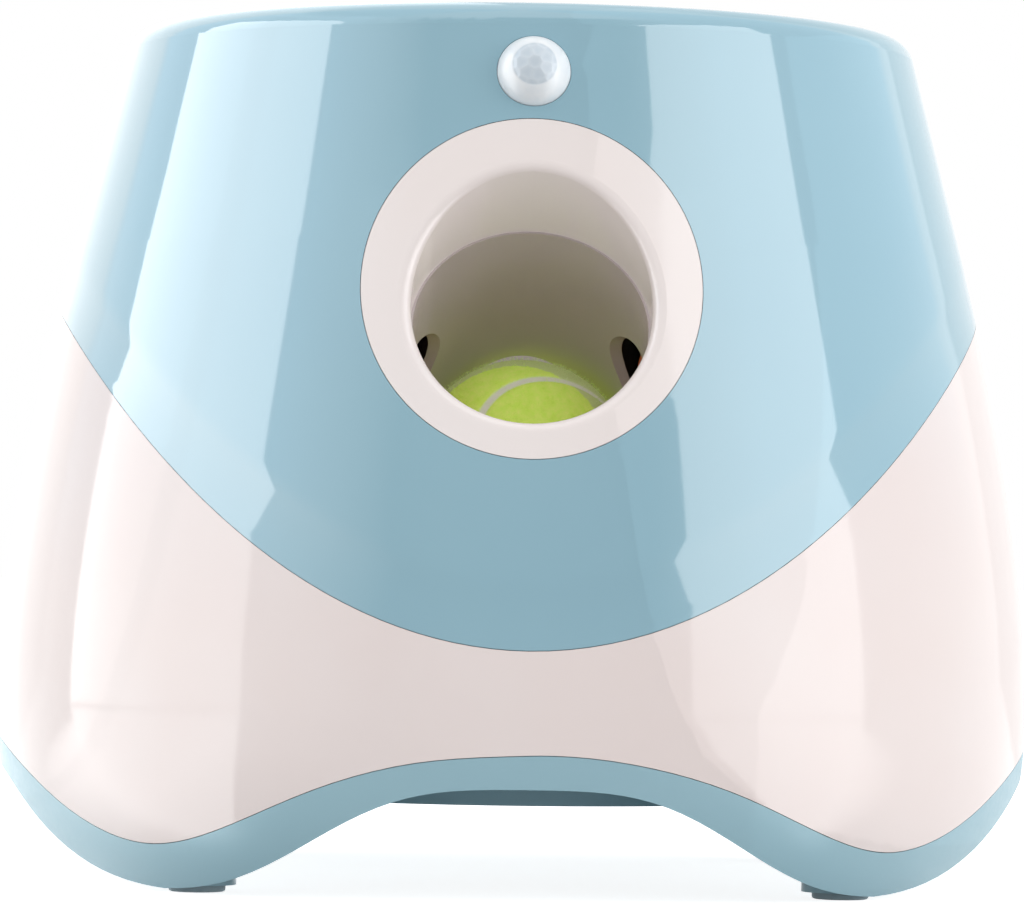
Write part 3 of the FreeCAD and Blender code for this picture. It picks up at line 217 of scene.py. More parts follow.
def skin(rings: Sequence[Sequence[Vector]]) -> Solid:
    """Join stacked rings of points by faces.

    Args:
        rings: Points of each ring in millimetres. All have as many points, apart from poles, which have one.

    Returns:
        Points in metres and faces.
    """
    steps = max(len(points) for points in rings)
    verts = [point * MM for points in rings for point in points]
    numbers: list[range] = []
    for points in rings:
        start = numbers[-1].stop if numbers else 0
        numbers.append(range(start, start + len(points)))
    faces = []
    for low, high in zip(numbers, numbers[1:]):
        for step in range(steps):
            ahead = (step + 1) % steps
            corners = [below[place % len(below)] for below, place in (
                (low, step), (low, ahead), (high, ahead), (high, step))]
            corners = tuple(dict.fromkeys(corners))
            if len(corners) > 2:
                faces.append(corners)
    return verts, faces


def finish_piece(piece: Object, body: str, finish: "Finish", replaced: Sequence[str] = ()) -> None:
    """Give a new piece its material, its body and the nodes that it stands for.

    Args:
        piece: The object, in place.
        body: Body that it moves with.
        finish: Its finish.
        replaced: Nodes that it stands for.
    """
    piece.data.materials.clear()
    piece.data.materials.append(finish.material())
    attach(piece, body)
    if replaced:
        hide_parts(*replaced)


def node_points(node: str) -> np.ndarray:
    """Read the points of a node's mesh.

    Args:
        node: Name of the node.

    Returns:
        The points in metres, one row each.
    """
    mesh = frame["nodes"][node].data
    points = np.zeros(len(mesh.vertices) * 3)
    mesh.vertices.foreach_get("co", points)
    return points.reshape(-1, 3)


def node_islands(node: str, doubles: float = 1e-6) -> list[np.ndarray]:
    """Split a node's mesh into its separate solids.

    Args:
        node: Name of the node.
        doubles: Points closer than this, in metres, are one point.

    Returns:
        Points of each solid, in metres.
    """
    work = bmesh.new()
    work.from_mesh(frame["nodes"][node].data)
    bmesh.ops.remove_doubles(work, verts=work.verts, dist=doubles)
    work.verts.ensure_lookup_table()
    seen: set[int] = set()
    islands = []
    for first in work.verts:
        if first.index in seen:
            continue
        seen.add(first.index)
        queue, members = [first], []
        while queue:
            vert = queue.pop()
            members.append(vert.co[:])
            for edge in vert.link_edges:
                other = edge.other_vert(vert)
                if other.index not in seen:
                    seen.add(other.index)
                    queue.append(other)
        islands.append(np.array(members))
    work.free()
    return islands


@dataclass(frozen=True)
class RoundPart:
    """A screw found in a node: its seat, the way it points, its shank's length and its head's radius."""

    seat: Vector
    way: Vector
    reach: float
    radius: float


def find_screws(node: str, head_share: float = 0.8) -> list[RoundPart]:
    """Find the seat and the direction of every screw in a node.

    Args:
        node: Name of a node made of pan-head screws.
        head_share: Points further from the axis than this share of the greatest radius belong to the head.

    Returns:
        The screws. A seat is the underside of a head.
    """
    found = []
    for points in node_islands(node):
        centre = points.mean(0)
        values, vectors = np.linalg.eigh(np.cov((points - centre).T))
        lone = 0 if abs(values[0] - values[1]) > abs(values[2] - values[1]) else 2
        axis = vectors[:, lone]
        along = (points - centre) @ axis
        across = np.linalg.norm((points - centre) - np.outer(along, axis), axis=1)
        head = along[across > head_share * across.max()]
        if head.mean() > 0:
            axis, along, head = -axis, -along, -head
        seat = centre + axis * head.max()
        reach = float(along.max() - head.max())
        found.append(RoundPart(Vector(seat), Vector(axis), reach, float(across.max())))
    return found


# ---------------------------------------------------------------- finishes

@dataclass(frozen=True)
class Grain:
    """Unevenness of a surface: size of a blotch in millimetres, octaves of finer noise and their weight."""

    size: float
    detail: float = 2.0
    weight: float = 0.5

    def inputs(self, place: Socket | Node) -> dict[str, Any]:
        """What a noise texture takes to show the grain at its real size."""
        return {"Vector": place, "Scale": 1 / (self.size * MM), "Detail": self.detail,
                "Roughness": self.weight}


@dataclass(frozen=True)
class Finish:
    """Name, record slot and base colour that every finish has."""

    name: str
    slot: str
    colour: str

    def material(self) -> bpy.types.Material:
        """Return the finish as a material, made once."""
        found = bpy.data.materials.get(self.name)
        if found is not None:
            return found
        material = bpy.data.materials.new(self.name)
        tree = empty_tree(material)
        place = add_node(tree, "ShaderNodeTexCoord").outputs["Object"]
        add_node(tree, "ShaderNodeOutputMaterial", {"Surface": self.shader(tree, place)})
        return material

    def shader(self, tree: Tree, place: Socket) -> Node:
        """Build the shader. Each finish has its own.

        Args:
            tree: The material's node tree.
            place: Object coordinates, in metres.

        Returns:
            The shader node.
        """
        raise NotImplementedError

    def uneven(self, tree: Tree, place: Socket | Node, grain: Grain, low: float = 0.0,
               high: float = 1.0) -> Node:
        """Value that wanders from low to high with a grain. Most of the noise lies from 0.25 to 0.75."""
        noise = add_node(tree, "ShaderNodeTexNoise", grain.inputs(place))
        return add_node(tree, "ShaderNodeMapRange", {"Value": noise, "From Min": 0.25, "From Max": 0.75,
                                                     "To Min": low, "To Max": high})

    def mottled(self, tree: Tree, place: Socket, grain: Grain, second: str) -> Node:
        """Colour that wanders from the finish's own to a second one."""
        share = self.uneven(tree, place, grain)
        return add_node(tree, "ShaderNodeMix", {"Factor": share, 6: linear(self.colour), 7: linear(second)},
                        data_type="RGBA")

    def relief(self, tree: Tree, place: Socket | Node, grain: Grain, height: float,
               under: Node | None = None) -> Node:
        """Normal of a surface that a grain roughens.

        Args:
            tree: The material's node tree.
            place: Coordinates in metres.
            grain: The grain.
            height: How high it stands, in millimetres.
            under: Relief that it lies on, if any.

        Returns:
            The node that gives the normal.
        """
        noise = add_node(tree, "ShaderNodeTexNoise", grain.inputs(place))
        inputs = {"Height": noise, "Strength": 1.0, "Distance": height * MM}
        return add_node(tree, "ShaderNodeBump", inputs if under is None else inputs | {"Normal": under})


@dataclass(frozen=True)
class MouldedAbs(Finish):
    """Injection-moulded ABS. A polished mould gives sharp reflections that waver a little where the melt
    flowed, and a spark-eroded mould gives a fine even grain and a soft sheen."""

    shade: str
    roughness: float = 0.06
    ior: float = 1.5
    drift: Grain = Grain(60.0)
    rub: Grain = Grain(2.2, 5.0, 0.65)
    flow: Grain = Grain(34.0, 1.0)
    flow_height: float = 0.012
    erosion: Grain | None = None
    erosion_height: float = 0.006

    def shader(self, tree: Tree, place: Socket) -> Node:
        """Plastic with slow colour drift, uneven gloss, flow waves and, where eroded, a grain."""
        normal = self.relief(tree, place, self.flow, self.flow_height)
        if self.erosion:
            normal = self.relief(tree, place, self.erosion, self.erosion_height, normal)
        return add_node(tree, "ShaderNodeBsdfPrincipled", {
            "Base Color": self.mottled(tree, place, self.drift, self.shade),
            "Roughness": self.uneven(tree, place, self.rub, self.roughness * 0.8, self.roughness * 1.35),
            "Normal": self.form(tree, place, normal), "IOR": self.ior})

    def form(self, tree: Tree, place: Socket, normal: Node) -> Node:
        """Return the normal as it is. A finish with a form of its own changes it."""
        return normal


@dataclass(frozen=True)
class SteppedAbs(MouldedAbs):
    """The same plastic on the blue shell, whose wall steps in a little over its lower edge.

    Lengths are in millimetres. The joint line is at split_height + split_curve * x * x. Away from it, the
    wall is level over the land, then leans out by the slant, and turns back in the fold, where the band ends.
    """

    split_height: float = 69.4
    split_curve: float = 0.00475
    band: float = 21.0
    land: float = 3.5
    fold: float = 4.5
    slant: float = 0.082

    def form(self, tree: Tree, place: Socket, normal: Node) -> Node:
        """Lower the wall in a band along the joint line, with a rounded fold at the band's upper side."""
        crest = self.band - self.fold
        parts = add_node(tree, "ShaderNodeSeparateXYZ", {"Vector": place}).outputs
        x = add_node(tree, "ShaderNodeMath", {0: parts["X"], 1: MM}, operation="DIVIDE")
        z = add_node(tree, "ShaderNodeMath", {0: parts["Z"], 1: MM}, operation="DIVIDE")
        square = add_node(tree, "ShaderNodeMath", {0: x, 1: x}, operation="MULTIPLY")
        line = add_node(tree, "ShaderNodeMath", {0: square, 1: self.split_curve, 2: self.split_height},
                        operation="MULTIPLY_ADD")
        slope = add_node(tree, "ShaderNodeMath", {0: x, 1: 2 * self.split_curve}, operation="MULTIPLY")
        lean = add_node(tree, "ShaderNodeMath", {0: slope, 1: slope, 2: 1.0}, operation="MULTIPLY_ADD")
        lean = add_node(tree, "ShaderNodeMath", {0: lean}, operation="SQRT")
        above = add_node(tree, "ShaderNodeMath", {0: z, 1: line}, operation="SUBTRACT")
        away = add_node(tree, "ShaderNodeMath", {0: above, 1: lean}, operation="DIVIDE")
        share = add_node(tree, "ShaderNodeMapRange", {"Value": away, "From Min": self.land,
                                                      "From Max": crest})
        share = add_node(tree, "ShaderNodeMath", {0: share, 1: share}, operation="MULTIPLY")
        turn = add_node(tree, "ShaderNodeMapRange", {"Value": away, "From Min": crest, "From Max": self.band})
        rest = add_node(tree, "ShaderNodeMath", {0: turn, 1: -0.5, 2: 1.0}, operation="MULTIPLY_ADD")
        fold = add_node(tree, "ShaderNodeMath", {0: turn, 1: rest}, operation="MULTIPLY")
        fold = add_node(tree, "ShaderNodeMath", {0: fold, 1: self.slant * self.fold}, operation="MULTIPLY")
        rise = self.slant * (crest - self.land) / 2
        height = add_node(tree, "ShaderNodeMath", {0: share, 1: rise, 2: fold}, operation="MULTIPLY_ADD")
        return add_node(tree, "ShaderNodeBump", {"Height": height, "Strength": 1.0, "Distance": MM,
                                                 "Normal": normal})


@dataclass(frozen=True)
class MilkyPolyethylene(Finish):
    """Moulded high-density polyethylene of a motion sensor's lens: milky, waxy gloss, thinner and darker at
    its facets."""

    shade: str = "#DEE4E9"
    thin: str = "#C2CDD6"

    def shader(self, tree: Tree, place: Socket) -> Node:
        """Scattering plastic with cloudy patches, darker where the piece's own attribute says it is thin."""
        cloudy = self.mottled(tree, place, Grain(3.5, 3.0), self.shade)
        thin = add_node(tree, "ShaderNodeAttribute", attribute_name="thin").outputs["Fac"]
        colour = add_node(tree, "ShaderNodeMix", {"Factor": thin, 6: cloudy, 7: linear(self.thin)},
                          data_type="RGBA")
        return add_node(tree, "ShaderNodeBsdfPrincipled", {
            "Base Color": colour, "Roughness": 0.32, "Normal": self.relief(tree, place, Grain(0.5), 0.01),
            "Subsurface Weight": 0.25, "Subsurface Radius": (1.0, 1.0, 1.0), "Subsurface Scale": 1.2 * MM,
            "IOR": 1.5})


@dataclass(frozen=True)
class BallFelt(Finish):
    """Needled wool and nylon felt of a tennis ball in a fluorescent dye, with a painted glow that makes it
    brighter than its lighting, the pale grey rubber of its seam, and painted shade in a band round its upper
    rim as seen from the front."""

    tuft: str = "#D8EE78"
    seam: str = "#D4D6C4"
    # Colour of the painted shade in a band round the ball's upper rim.
    rim_shade: str = "#B4C088"
    # Strength of the painted glow: light that the felt gives off of its own, though it is no lamp.
    painted_glow: float = 0.30

    def shader(self, tree: Tree, place: Socket) -> Node:
        """Nap with matted tufts, a painted glow, and the seam and the painted rim shade shown by the piece's
        own attributes.
        """
        felt = self.mottled(tree, place, Grain(2.4, 5.0, 0.7), self.tuft)
        # Painted shade: the felt turns grey in a band round the ball's upper rim as seen from the front,
        # frayed at its edge.
        worn = add_node(tree, "ShaderNodeAttribute", attribute_name="worn").outputs["Fac"]
        frayed = add_node(tree, "ShaderNodeTexNoise", Grain(1.6, 4.0, 0.7).inputs(place))
        worn = add_node(tree, "ShaderNodeMath", {0: frayed, 1: 0.5, 2: worn}, operation="MULTIPLY_ADD")
        worn = add_node(tree, "ShaderNodeMapRange", {"Value": worn, "From Min": 0.68, "From Max": 0.82,
                                                     "To Max": 0.85})
        felt = add_node(tree, "ShaderNodeMix", {"Factor": worn, 6: felt, 7: linear(self.rim_shade)},
                        data_type="RGBA")
        seam = add_node(tree, "ShaderNodeAttribute", attribute_name="seam").outputs["Fac"]
        colour = add_node(tree, "ShaderNodeMix", {"Factor": seam, 6: felt, 7: linear(self.seam)},
                          data_type="RGBA")
        fibres = self.relief(tree, place, Grain(0.45, 4.0, 0.7), 0.25)
        # Painted glow: the felt gives off light of its own, so that it looks brighter than its lighting makes
        # it.
        return add_node(tree, "ShaderNodeBsdfPrincipled", {
            "Base Color": colour, "Roughness": 0.95, "Normal": fibres, "IOR": 1.45, "Sheen Weight": 0.35,
            "Sheen Roughness": 0.5, "Sheen Tint": linear("#E9F2A0"), "Emission Color": colour,
            "Emission Strength": self.painted_glow})


@dataclass(frozen=True)
class MouldedRubber(Finish):
    """Moulded rubber: dull, finely pitted, a little paler where it has been rubbed."""

    worn: str
    roughness: float = 0.62

    def shader(self, tree: Tree, place: Socket) -> Node:
        """Rubber with rubbed patches and fine pits."""
        gloss = self.uneven(tree, place, Grain(1.6, 3.0), self.roughness * 0.85, self.roughness * 1.15)
        return add_node(tree, "ShaderNodeBsdfPrincipled", {
            "Base Color": self.mottled(tree, place, Grain(7.0, 4.0, 0.6), self.worn), "Roughness": gloss,
            "Normal": self.relief(tree, place, Grain(0.35, 3.0), 0.03), "IOR": 1.52})


@dataclass(frozen=True)
class EngineeringPlastic(Finish):
    """Nylon or acetal of the working parts: waxy, slightly mottled, with faint machining or flow marks."""

    shade: str
    roughness: float
    scatter: float = 0.0

    def shader(self, tree: Tree, place: Socket) -> Node:
        """Waxy plastic with mottling."""
        gloss = self.uneven(tree, place, Grain(1.2, 4.0), self.roughness * 0.85, self.roughness * 1.2)
        return add_node(tree, "ShaderNodeBsdfPrincipled", {
            "Base Color": self.mottled(tree, place, Grain(4.0, 4.0, 0.6), self.shade), "Roughness": gloss,
            "Normal": self.relief(tree, place, Grain(0.7, 3.0), 0.015), "IOR": 1.52,
            "Subsurface Weight": self.scatter, "Subsurface Radius": (1.0, 1.0, 1.0), "Subsurface Scale": MM})


class MetalSurface(Enum):
    """How a metal surface was made, with the scale along each axis that stretches its marks."""

    PLATED = (1.0, 1.0, 1.0)
    ROLLED = (1.0, 0.06, 1.0)
    TURNED = (1.0, 1.0, 0.05)


@dataclass(frozen=True)
class WorkedMetal(Finish):
    """Plated, rolled or turned metal, with the fine marks of its making."""

    surface: MetalSurface
    roughness: float
    mark_size: float = 0.6
    cloud_level: float = 0.86

    def shader(self, tree: Tree, place: Socket) -> Node:
        """Metal with marks along its working direction and cloudy plating."""
        stretched = add_node(tree, "ShaderNodeMapping", {"Vector": place, "Scale": self.surface.value})
        marks = Grain(self.mark_size, 4.0, 0.6)
        cloud = [self.cloud_level * part for part in linear(self.colour)[:3]] + [1.0]
        colour = add_node(tree, "ShaderNodeMix", {"Factor": self.uneven(tree, place, Grain(6.0, 3.0)),
                                                  6: linear(self.colour), 7: cloud}, data_type="RGBA")
        gloss = self.uneven(tree, stretched, marks, self.roughness * 0.75, self.roughness * 1.3)
        return add_node(tree, "ShaderNodeBsdfPrincipled", {
            "Base Color": colour, "Metallic": 1.0, "Roughness": gloss,
            "Normal": self.relief(tree, stretched, marks, 0.006)})


@dataclass(frozen=True)
class CircuitBoard(Finish):
    """Glass-epoxy board under green solder mask, with copper tracks that show as paler lines."""

    track: str = "#3F8F5A"
    track_pitch: float = 2.6
    copper: float = 0.035

    def shader(self, tree: Tree, place: Socket) -> Node:
        """Mask over tracks drawn as the borders of square cells, raised by the copper's thickness."""
        cells = {"Vector": place, "Scale": 1 / (self.track_pitch * MM), "Randomness": 0.55}
        near, far = [add_node(tree, "ShaderNodeTexVoronoi", cells, feature=feature, distance="CHEBYCHEV")
                     for feature in ("F1", "F2")]
        gap = add_node(tree, "ShaderNodeMath", {0: far, 1: near}, operation="SUBTRACT")
        track = add_node(tree, "ShaderNodeMapRange", {"Value": gap, "From Min": 0.16, "From Max": 0.10})
        colour = add_node(tree, "ShaderNodeMix", {"Factor": track, 6: linear(self.colour),
                                                  7: linear(self.track)}, data_type="RGBA")
        raised = add_node(tree, "ShaderNodeBump", {"Height": track, "Strength": 1.0,
                                                   "Distance": self.copper * MM})
        return add_node(tree, "ShaderNodeBsdfPrincipled", {"Base Color": colour, "Roughness": 0.22,
                                                           "Normal": raised, "IOR": 1.55})


@dataclass(frozen=True)
class ClearAcrylic(Finish):
    """Moulded clear acrylic of a light pipe."""

    def shader(self, tree: Tree, place: Socket) -> Node:
        """Clear plastic, faintly cloudy."""
        cloud = self.uneven(tree, place, Grain(1.5, 3.0), 0.08, 0.22)
        return add_node(tree, "ShaderNodeBsdfPrincipled", {
            "Base Color": linear(self.colour), "Roughness": cloud, "IOR": 1.49, "Transmission Weight": 0.85})


@dataclass(frozen=True)
class CellSleeve(Finish):
    """Shrink sleeve of a dry cell, dark with a plain copper-coloured band at one end."""

    band: str = "#B9814A"
    band_from: float = 0.70
    length: float = 50.0

    def shader(self, tree: Tree, place: Socket) -> Node:
        """Glossy sleeve whose band repeats along the row of cells."""
        across = add_node(tree, "ShaderNodeSeparateXYZ", {"Vector": place})
        cell = add_node(tree, "ShaderNodeMath", {0: across, 1: self.length * MM}, operation="DIVIDE")
        share = add_node(tree, "ShaderNodeMath", {0: cell}, operation="FRACT")
        band = add_node(tree, "ShaderNodeMapRange", {"Value": share, "From Min": self.band_from,
                                                     "From Max": self.band_from + 0.005})
        colour = add_node(tree, "ShaderNodeMix", {"Factor": band, 6: linear(self.colour),
                                                  7: linear(self.band)}, data_type="RGBA")
        creases = self.relief(tree, place, Grain(5.0), 0.05)
        return add_node(tree, "ShaderNodeBsdfPrincipled", {"Base Color": colour, "Roughness": 0.24,
                                                           "Normal": creases, "IOR": 1.5})


ERODED = Grain(0.5, 2.0, 0.6)
FINELY_ERODED = Grain(0.35, 2.0, 0.6)

SKY_BLUE_GLOSS = SteppedAbs("sky_blue_abs_polished", "blue_gloss_abs", "#95BAC8", "#92B7C6", 0.05, 1.62)
WHITE_GLOSS = MouldedAbs("warm_white_abs_polished", "white_gloss_abs", "#ECE2E0", "#EADDDA", 0.07, 1.38)
MUZZLE_WHITE = MouldedAbs("warm_white_abs_muzzle", "white_gloss_abs", "#F2EAE8", "#F0E6E3", 0.1, 1.38)
WHITE_INNER = MouldedAbs("warm_white_abs_inner", "white_gloss_abs", "#E2D8D3", "#DDD3CE", 0.2, erosion=ERODED)
# Painted shade: a darker, browner copy of the white plastic for the barrel, standing in for the shade inside
# the bore.
BARREL_WHITE_SHADED = MouldedAbs("dull_white_abs_barrel", "white_gloss_abs", "#C9BDBE", "#B8ADA8", 0.2,
                          erosion=ERODED)
SKY_BLUE_SATIN = MouldedAbs("sky_blue_abs_spark_eroded", "blue_satin_abs", "#99BDC9", "#96BAC7", 0.34, 1.48,
                            erosion=FINELY_ERODED, erosion_height=0.008)
BLACK_ABS = MouldedAbs("black_abs_spark_eroded", "black_abs", "#1B1C1E", "#222326", 0.36,
                       erosion=FINELY_ERODED, erosion_height=0.01)
LENS_MILK = MilkyPolyethylene("milky_polyethylene_lens", "lens_polyethylene", "#E8EBED")
FELT = BallFelt("tennis_ball_felt", "tennis_felt", "#BFDD4E")
ORANGE_TYRE = MouldedRubber("orange_polyurethane_tyre", "tyre_rubber", "#D9662B", "#B9501F", 0.5)
FOOT_SILICONE = MouldedRubber("grey_silicone_foot", "button_silicone", "#A5B8C0", "#9BAEB6")
BUTTON_RUBBER = MouldedRubber("pale_grey_silicone_key", "button_silicone", "#D5D8DA", "#CBCED1", 0.5)
GREY_NYLON = EngineeringPlastic("grey_glass_filled_nylon", "grey_nylon", "#5C6064", "#686C70", 0.45)
WHITE_ACETAL = EngineeringPlastic("white_acetal", "white_acetal", "#ECEBE6", "#E3E2DC", 0.32, scatter=0.15)
ZINC_PLATE = WorkedMetal("zinc_plated_steel_sheet", "steel_plate", "#C9CBC8", MetalSurface.ROLLED, 0.32)
MOTOR_CAN = WorkedMetal("nickel_plated_motor_can", "motor_steel", "#C4C3BE", MetalSurface.PLATED, 0.24)
GROUND_SHAFT = WorkedMetal("ground_steel_shaft", "shaft_steel", "#D2D2D0", MetalSurface.TURNED, 0.16,
                           mark_size=0.3)
SCREW_ZINC = WorkedMetal("zinc_plated_screw", "screw_steel", "#BFC0BD", MetalSurface.PLATED, 0.3)
BUSH_BRASS = WorkedMetal("turned_brass_bush", "bush_brass", "#D9B468", MetalSurface.TURNED, 0.24)
SPRING_NICKEL = WorkedMetal("nickel_plated_spring_steel", "steel_plate", "#CFCDC6", MetalSurface.PLATED, 0.2)
GREEN_BOARD = CircuitBoard("green_solder_mask_board", "green_board", "#1E6B3F")
LIGHT_PIPE = ClearAcrylic("clear_acrylic_light_pipe", "clear_acrylic", "#F4F8F8")
CELL_SLEEVE = CellSleeve("dark_cell_sleeve", "cell_jacket", "#26282B")


# ---------------------------------------------------------------- studio

@dataclass(frozen=True)
class SoftBox:
    """A tall flat lamp that stands beside the object. Lengths are in metres and angles in degrees."""

    name: str
    azimuth: float
    gloss: float
    light: float
    width: float
    falloff: tuple[float, float]
    distance: float = 1.45
    height: float = 1.55
    middle: float = 0.78

    def build(self) -> None:
        """Make the box as two lamps in one place: one that the gloss shows and one that lights the object."""
        self.lamp(self.name + "_gloss", self.gloss).visible_diffuse = False
        self.lamp(self.name + "_light", self.light).visible_glossy = False

    def corner_angles(self, x: float, y: float) -> tuple[float, float]:
        """Azimuths at which the box's two upright edges stand as seen from a point in plan.

        Args:
            x: Place of the point to the right.
            y: Place of the point to the back.

        Returns:
            The lower azimuth and the higher one.
        """
        angle = math.radians(self.azimuth)
        middle = Vector((self.distance * math.sin(angle), -self.distance * math.cos(angle)))
        across = Vector((math.cos(angle), math.sin(angle))) * self.width / 2
        ways = [middle + across * side - Vector((x, y)) for side in (-1, 1)]
        low, high = sorted(math.degrees(math.atan2(way.x, -way.y)) for way in ways)
        return low, high

    def lamp(self, name: str, radiance: float) -> Object:
        """Make one lamp, facing the object.

        Args:
            name: Its name.
            radiance: How bright its face is, where 1 is white.

        Returns:
            The lamp's object.
        """
        lamp = bpy.data.lights.new(name, "AREA")
        lamp.shape = "RECTANGLE"
        lamp.size, lamp.size_y = self.width, self.height
        lamp.energy = radiance * math.pi * self.width * self.height
        tree = empty_tree(lamp)
        face = add_node(tree, "ShaderNodeNewGeometry").outputs["Parametric"]
        across = add_node(tree, "ShaderNodeSeparateXYZ", {"Vector": face})
        level = add_node(tree, "ShaderNodeMapRange", {"Value": across, "To Min": self.falloff[0],
                                                      "To Max": self.falloff[1]})
        glow = add_node(tree, "ShaderNodeEmission", {"Strength": level})
        add_node(tree, "ShaderNodeOutputLight", {"Surface": glow})
        holder = new_object(name, lamp)
        angle = math.radians(self.azimuth)
        holder.location = (self.distance * math.sin(angle), -self.distance * math.cos(angle), self.middle)
        aim = Vector((0, 0, self.middle)) - holder.location
        holder.rotation_mode = "QUATERNION"
        holder.rotation_quaternion = aim.to_track_quat("-Z", "Y")
        return holder


@dataclass(frozen=True)
class Studio:
    """Camera, pale floor, white surroundings and two soft boxes.

    The camera's place is in millimetres and what stands round the object is in metres. Angles are in
    degrees, and an azimuth is 0 towards the muzzle's side and positive on the right. A level of 1 is white.
    A pair that says where a level changes runs from 0 to 1 of it.
    """

    camera_place: tuple[float, float, float] = (-52.0, -1654.0, 98.0)
    image_width: int = 1024
    focal_pixels: float = 5569.0
    axis_column: float = 515.1
    pitch: float = 0.95
    roll: float = 0.8

    front_fill: float = 0.90
    back_fill: float = 0.95
    fill_turn: tuple[float, float] = (-0.7, 0.5)

    front_room: float = 0.24
    side_room: tuple[float, float] = (2.6, 1.6)
    aside: tuple[float, float] = (30.0, 60.0)
    side_tint: str = "#DCF0FF"
    tint_end: tuple[float, float] = (133.0, 129.0)
    tint_rise: tuple[float, float] = (0.08, 0.3)
    sweep_left: tuple[float, float] = (-129.5, 2.3)
    sweep_right: tuple[float, float] = (137.0, 1.1)
    ceiling: float = 1.6
    ceiling_rise: tuple[float, float] = (0.80, 0.86)

    floor_reach: float = 12.0
    floor_colour: str = "#D0D0D0"
    floor_in_gloss: str = "#404040"
    floor_glow: float = 0.86
    pool_seen_from: tuple[float, float] = (0.10, -0.13)
    pool_edge: float = 0.6
    pool_spread: float = 24.0
    pool_spread_reach: tuple[float, float] = (0.15, 0.9)
    pool_end: float = 0.05

    boxes: tuple[SoftBox, ...] = (SoftBox("soft_box_left", -85.5, 4.1, 1.5, 1.38, (1.15, 0.8)),
                                  SoftBox("soft_box_right", 56.5, 3.1, 2.5, 1.10, (0.95, 1.05)))

    def build_camera(self) -> None:
        """Put the camera in front of the object, a little to its left, and make it the scene's."""
        lens = bpy.data.cameras.new("view_camera")
        lens.sensor_width = 36.0
        lens.lens = self.focal_pixels * lens.sensor_width / self.image_width
        lens.clip_start, lens.clip_end = 0.05, 50.0
        camera = new_object("view_camera", lens)
        place = Vector(self.camera_place) * MM
        level = Vector((-place.x, -place.y, 0)).normalized()
        yaw = math.atan((self.axis_column - self.image_width / 2) / self.focal_pixels)
        ahead = Quaternion(UP, yaw) @ level
        right = ahead.cross(UP)
        ahead = Quaternion(right, math.radians(self.pitch)) @ ahead
        up = right.cross(ahead)
        turn = math.radians(self.roll)
        right, up = right * math.cos(turn) + up * math.sin(turn), up * math.cos(turn) - right * math.sin(turn)
        basis = Matrix((right, up, -ahead)).transposed().to_4x4()
        camera.matrix_world = Matrix.Translation(place) @ basis
        bpy.context.scene.camera = camera

    def build_floor(self) -> Object:
        """Lay the pale floor. It keeps the shadow, shows as white elsewhere and is clear from below."""
        reach = self.floor_reach
        corners = [(-reach, -reach, 0), (reach, -reach, 0), (reach, reach, 0), (-reach, reach, 0)]
        floor = mesh_object("studio_floor", corners, [(0, 1, 2, 3)], smooth=False)
        material = bpy.data.materials.new("studio_floor_white")
        tree = empty_tree(material)
        path = add_node(tree, "ShaderNodeLightPath").outputs
        seen = add_node(tree, "ShaderNodeMix", {"Factor": path["Is Glossy Ray"], 6: linear(self.floor_colour),
                                                7: linear(self.floor_in_gloss)}, data_type="RGBA")
        base = add_node(tree, "ShaderNodeBsdfDiffuse", {"Color": seen})
        place = add_node(tree, "ShaderNodeTexCoord").outputs["Object"]
        shine = add_node(tree, "ShaderNodeMath", {0: self.box_pools(tree, place), 1: path["Is Glossy Ray"]},
                         operation="MULTIPLY")
        plain = add_node(tree, "ShaderNodeMath", {0: path["Is Camera Ray"], 1: self.floor_glow, 2: shine},
                         operation="MULTIPLY_ADD")
        glow = add_node(tree, "ShaderNodeEmission", {"Color": linear("#FFFFFF"), "Strength": plain})
        both = add_node(tree, "ShaderNodeAddShader", {0: base, 1: glow})
        under = add_node(tree, "ShaderNodeNewGeometry").outputs["Backfacing"]
        clear = add_node(tree, "ShaderNodeBsdfTransparent")
        shown = add_node(tree, "ShaderNodeMixShader", {0: under, 1: both, 2: clear})
        add_node(tree, "ShaderNodeOutputMaterial", {"Surface": shown})
        floor.data.materials.append(material)
        return floor

    def azimuth(self, tree: Tree, way: Socket | Node) -> Node:
        """Azimuth of a direction in degrees: 0 towards the muzzle's side, positive on the right.

        Args:
            tree: Node tree that gets the nodes.
            way: The direction.

        Returns:
            The azimuth.
        """
        parts = add_node(tree, "ShaderNodeSeparateXYZ", {"Vector": way}).outputs
        ahead = add_node(tree, "ShaderNodeMath", {0: parts["Y"], 1: -1.0}, operation="MULTIPLY")
        angle = add_node(tree, "ShaderNodeMath", {0: parts["X"], 1: ahead}, operation="ARCTAN2")
        return add_node(tree, "ShaderNodeMath", {0: angle}, operation="DEGREES")

    def within(self, tree: Tree, value: Socket | Node, rise: tuple[Any, Any], fall: tuple[Any, Any]) -> Node:
        """Level that rises from 0 to 1 between two values and falls back between two more.

        Args:
            tree: Node tree that gets the nodes.
            value: What the level depends on.
            rise: Where the rise starts and ends.
            fall: Where the fall ends and starts, in that order.

        Returns:
            The level.
        """
        up, down = [add_node(tree, "ShaderNodeMapRange", {"Value": value, "From Min": start, "From Max": end})
                    for start, end in (rise, fall)]
        return add_node(tree, "ShaderNodeMath", {0: up, 1: down}, operation="MULTIPLY")

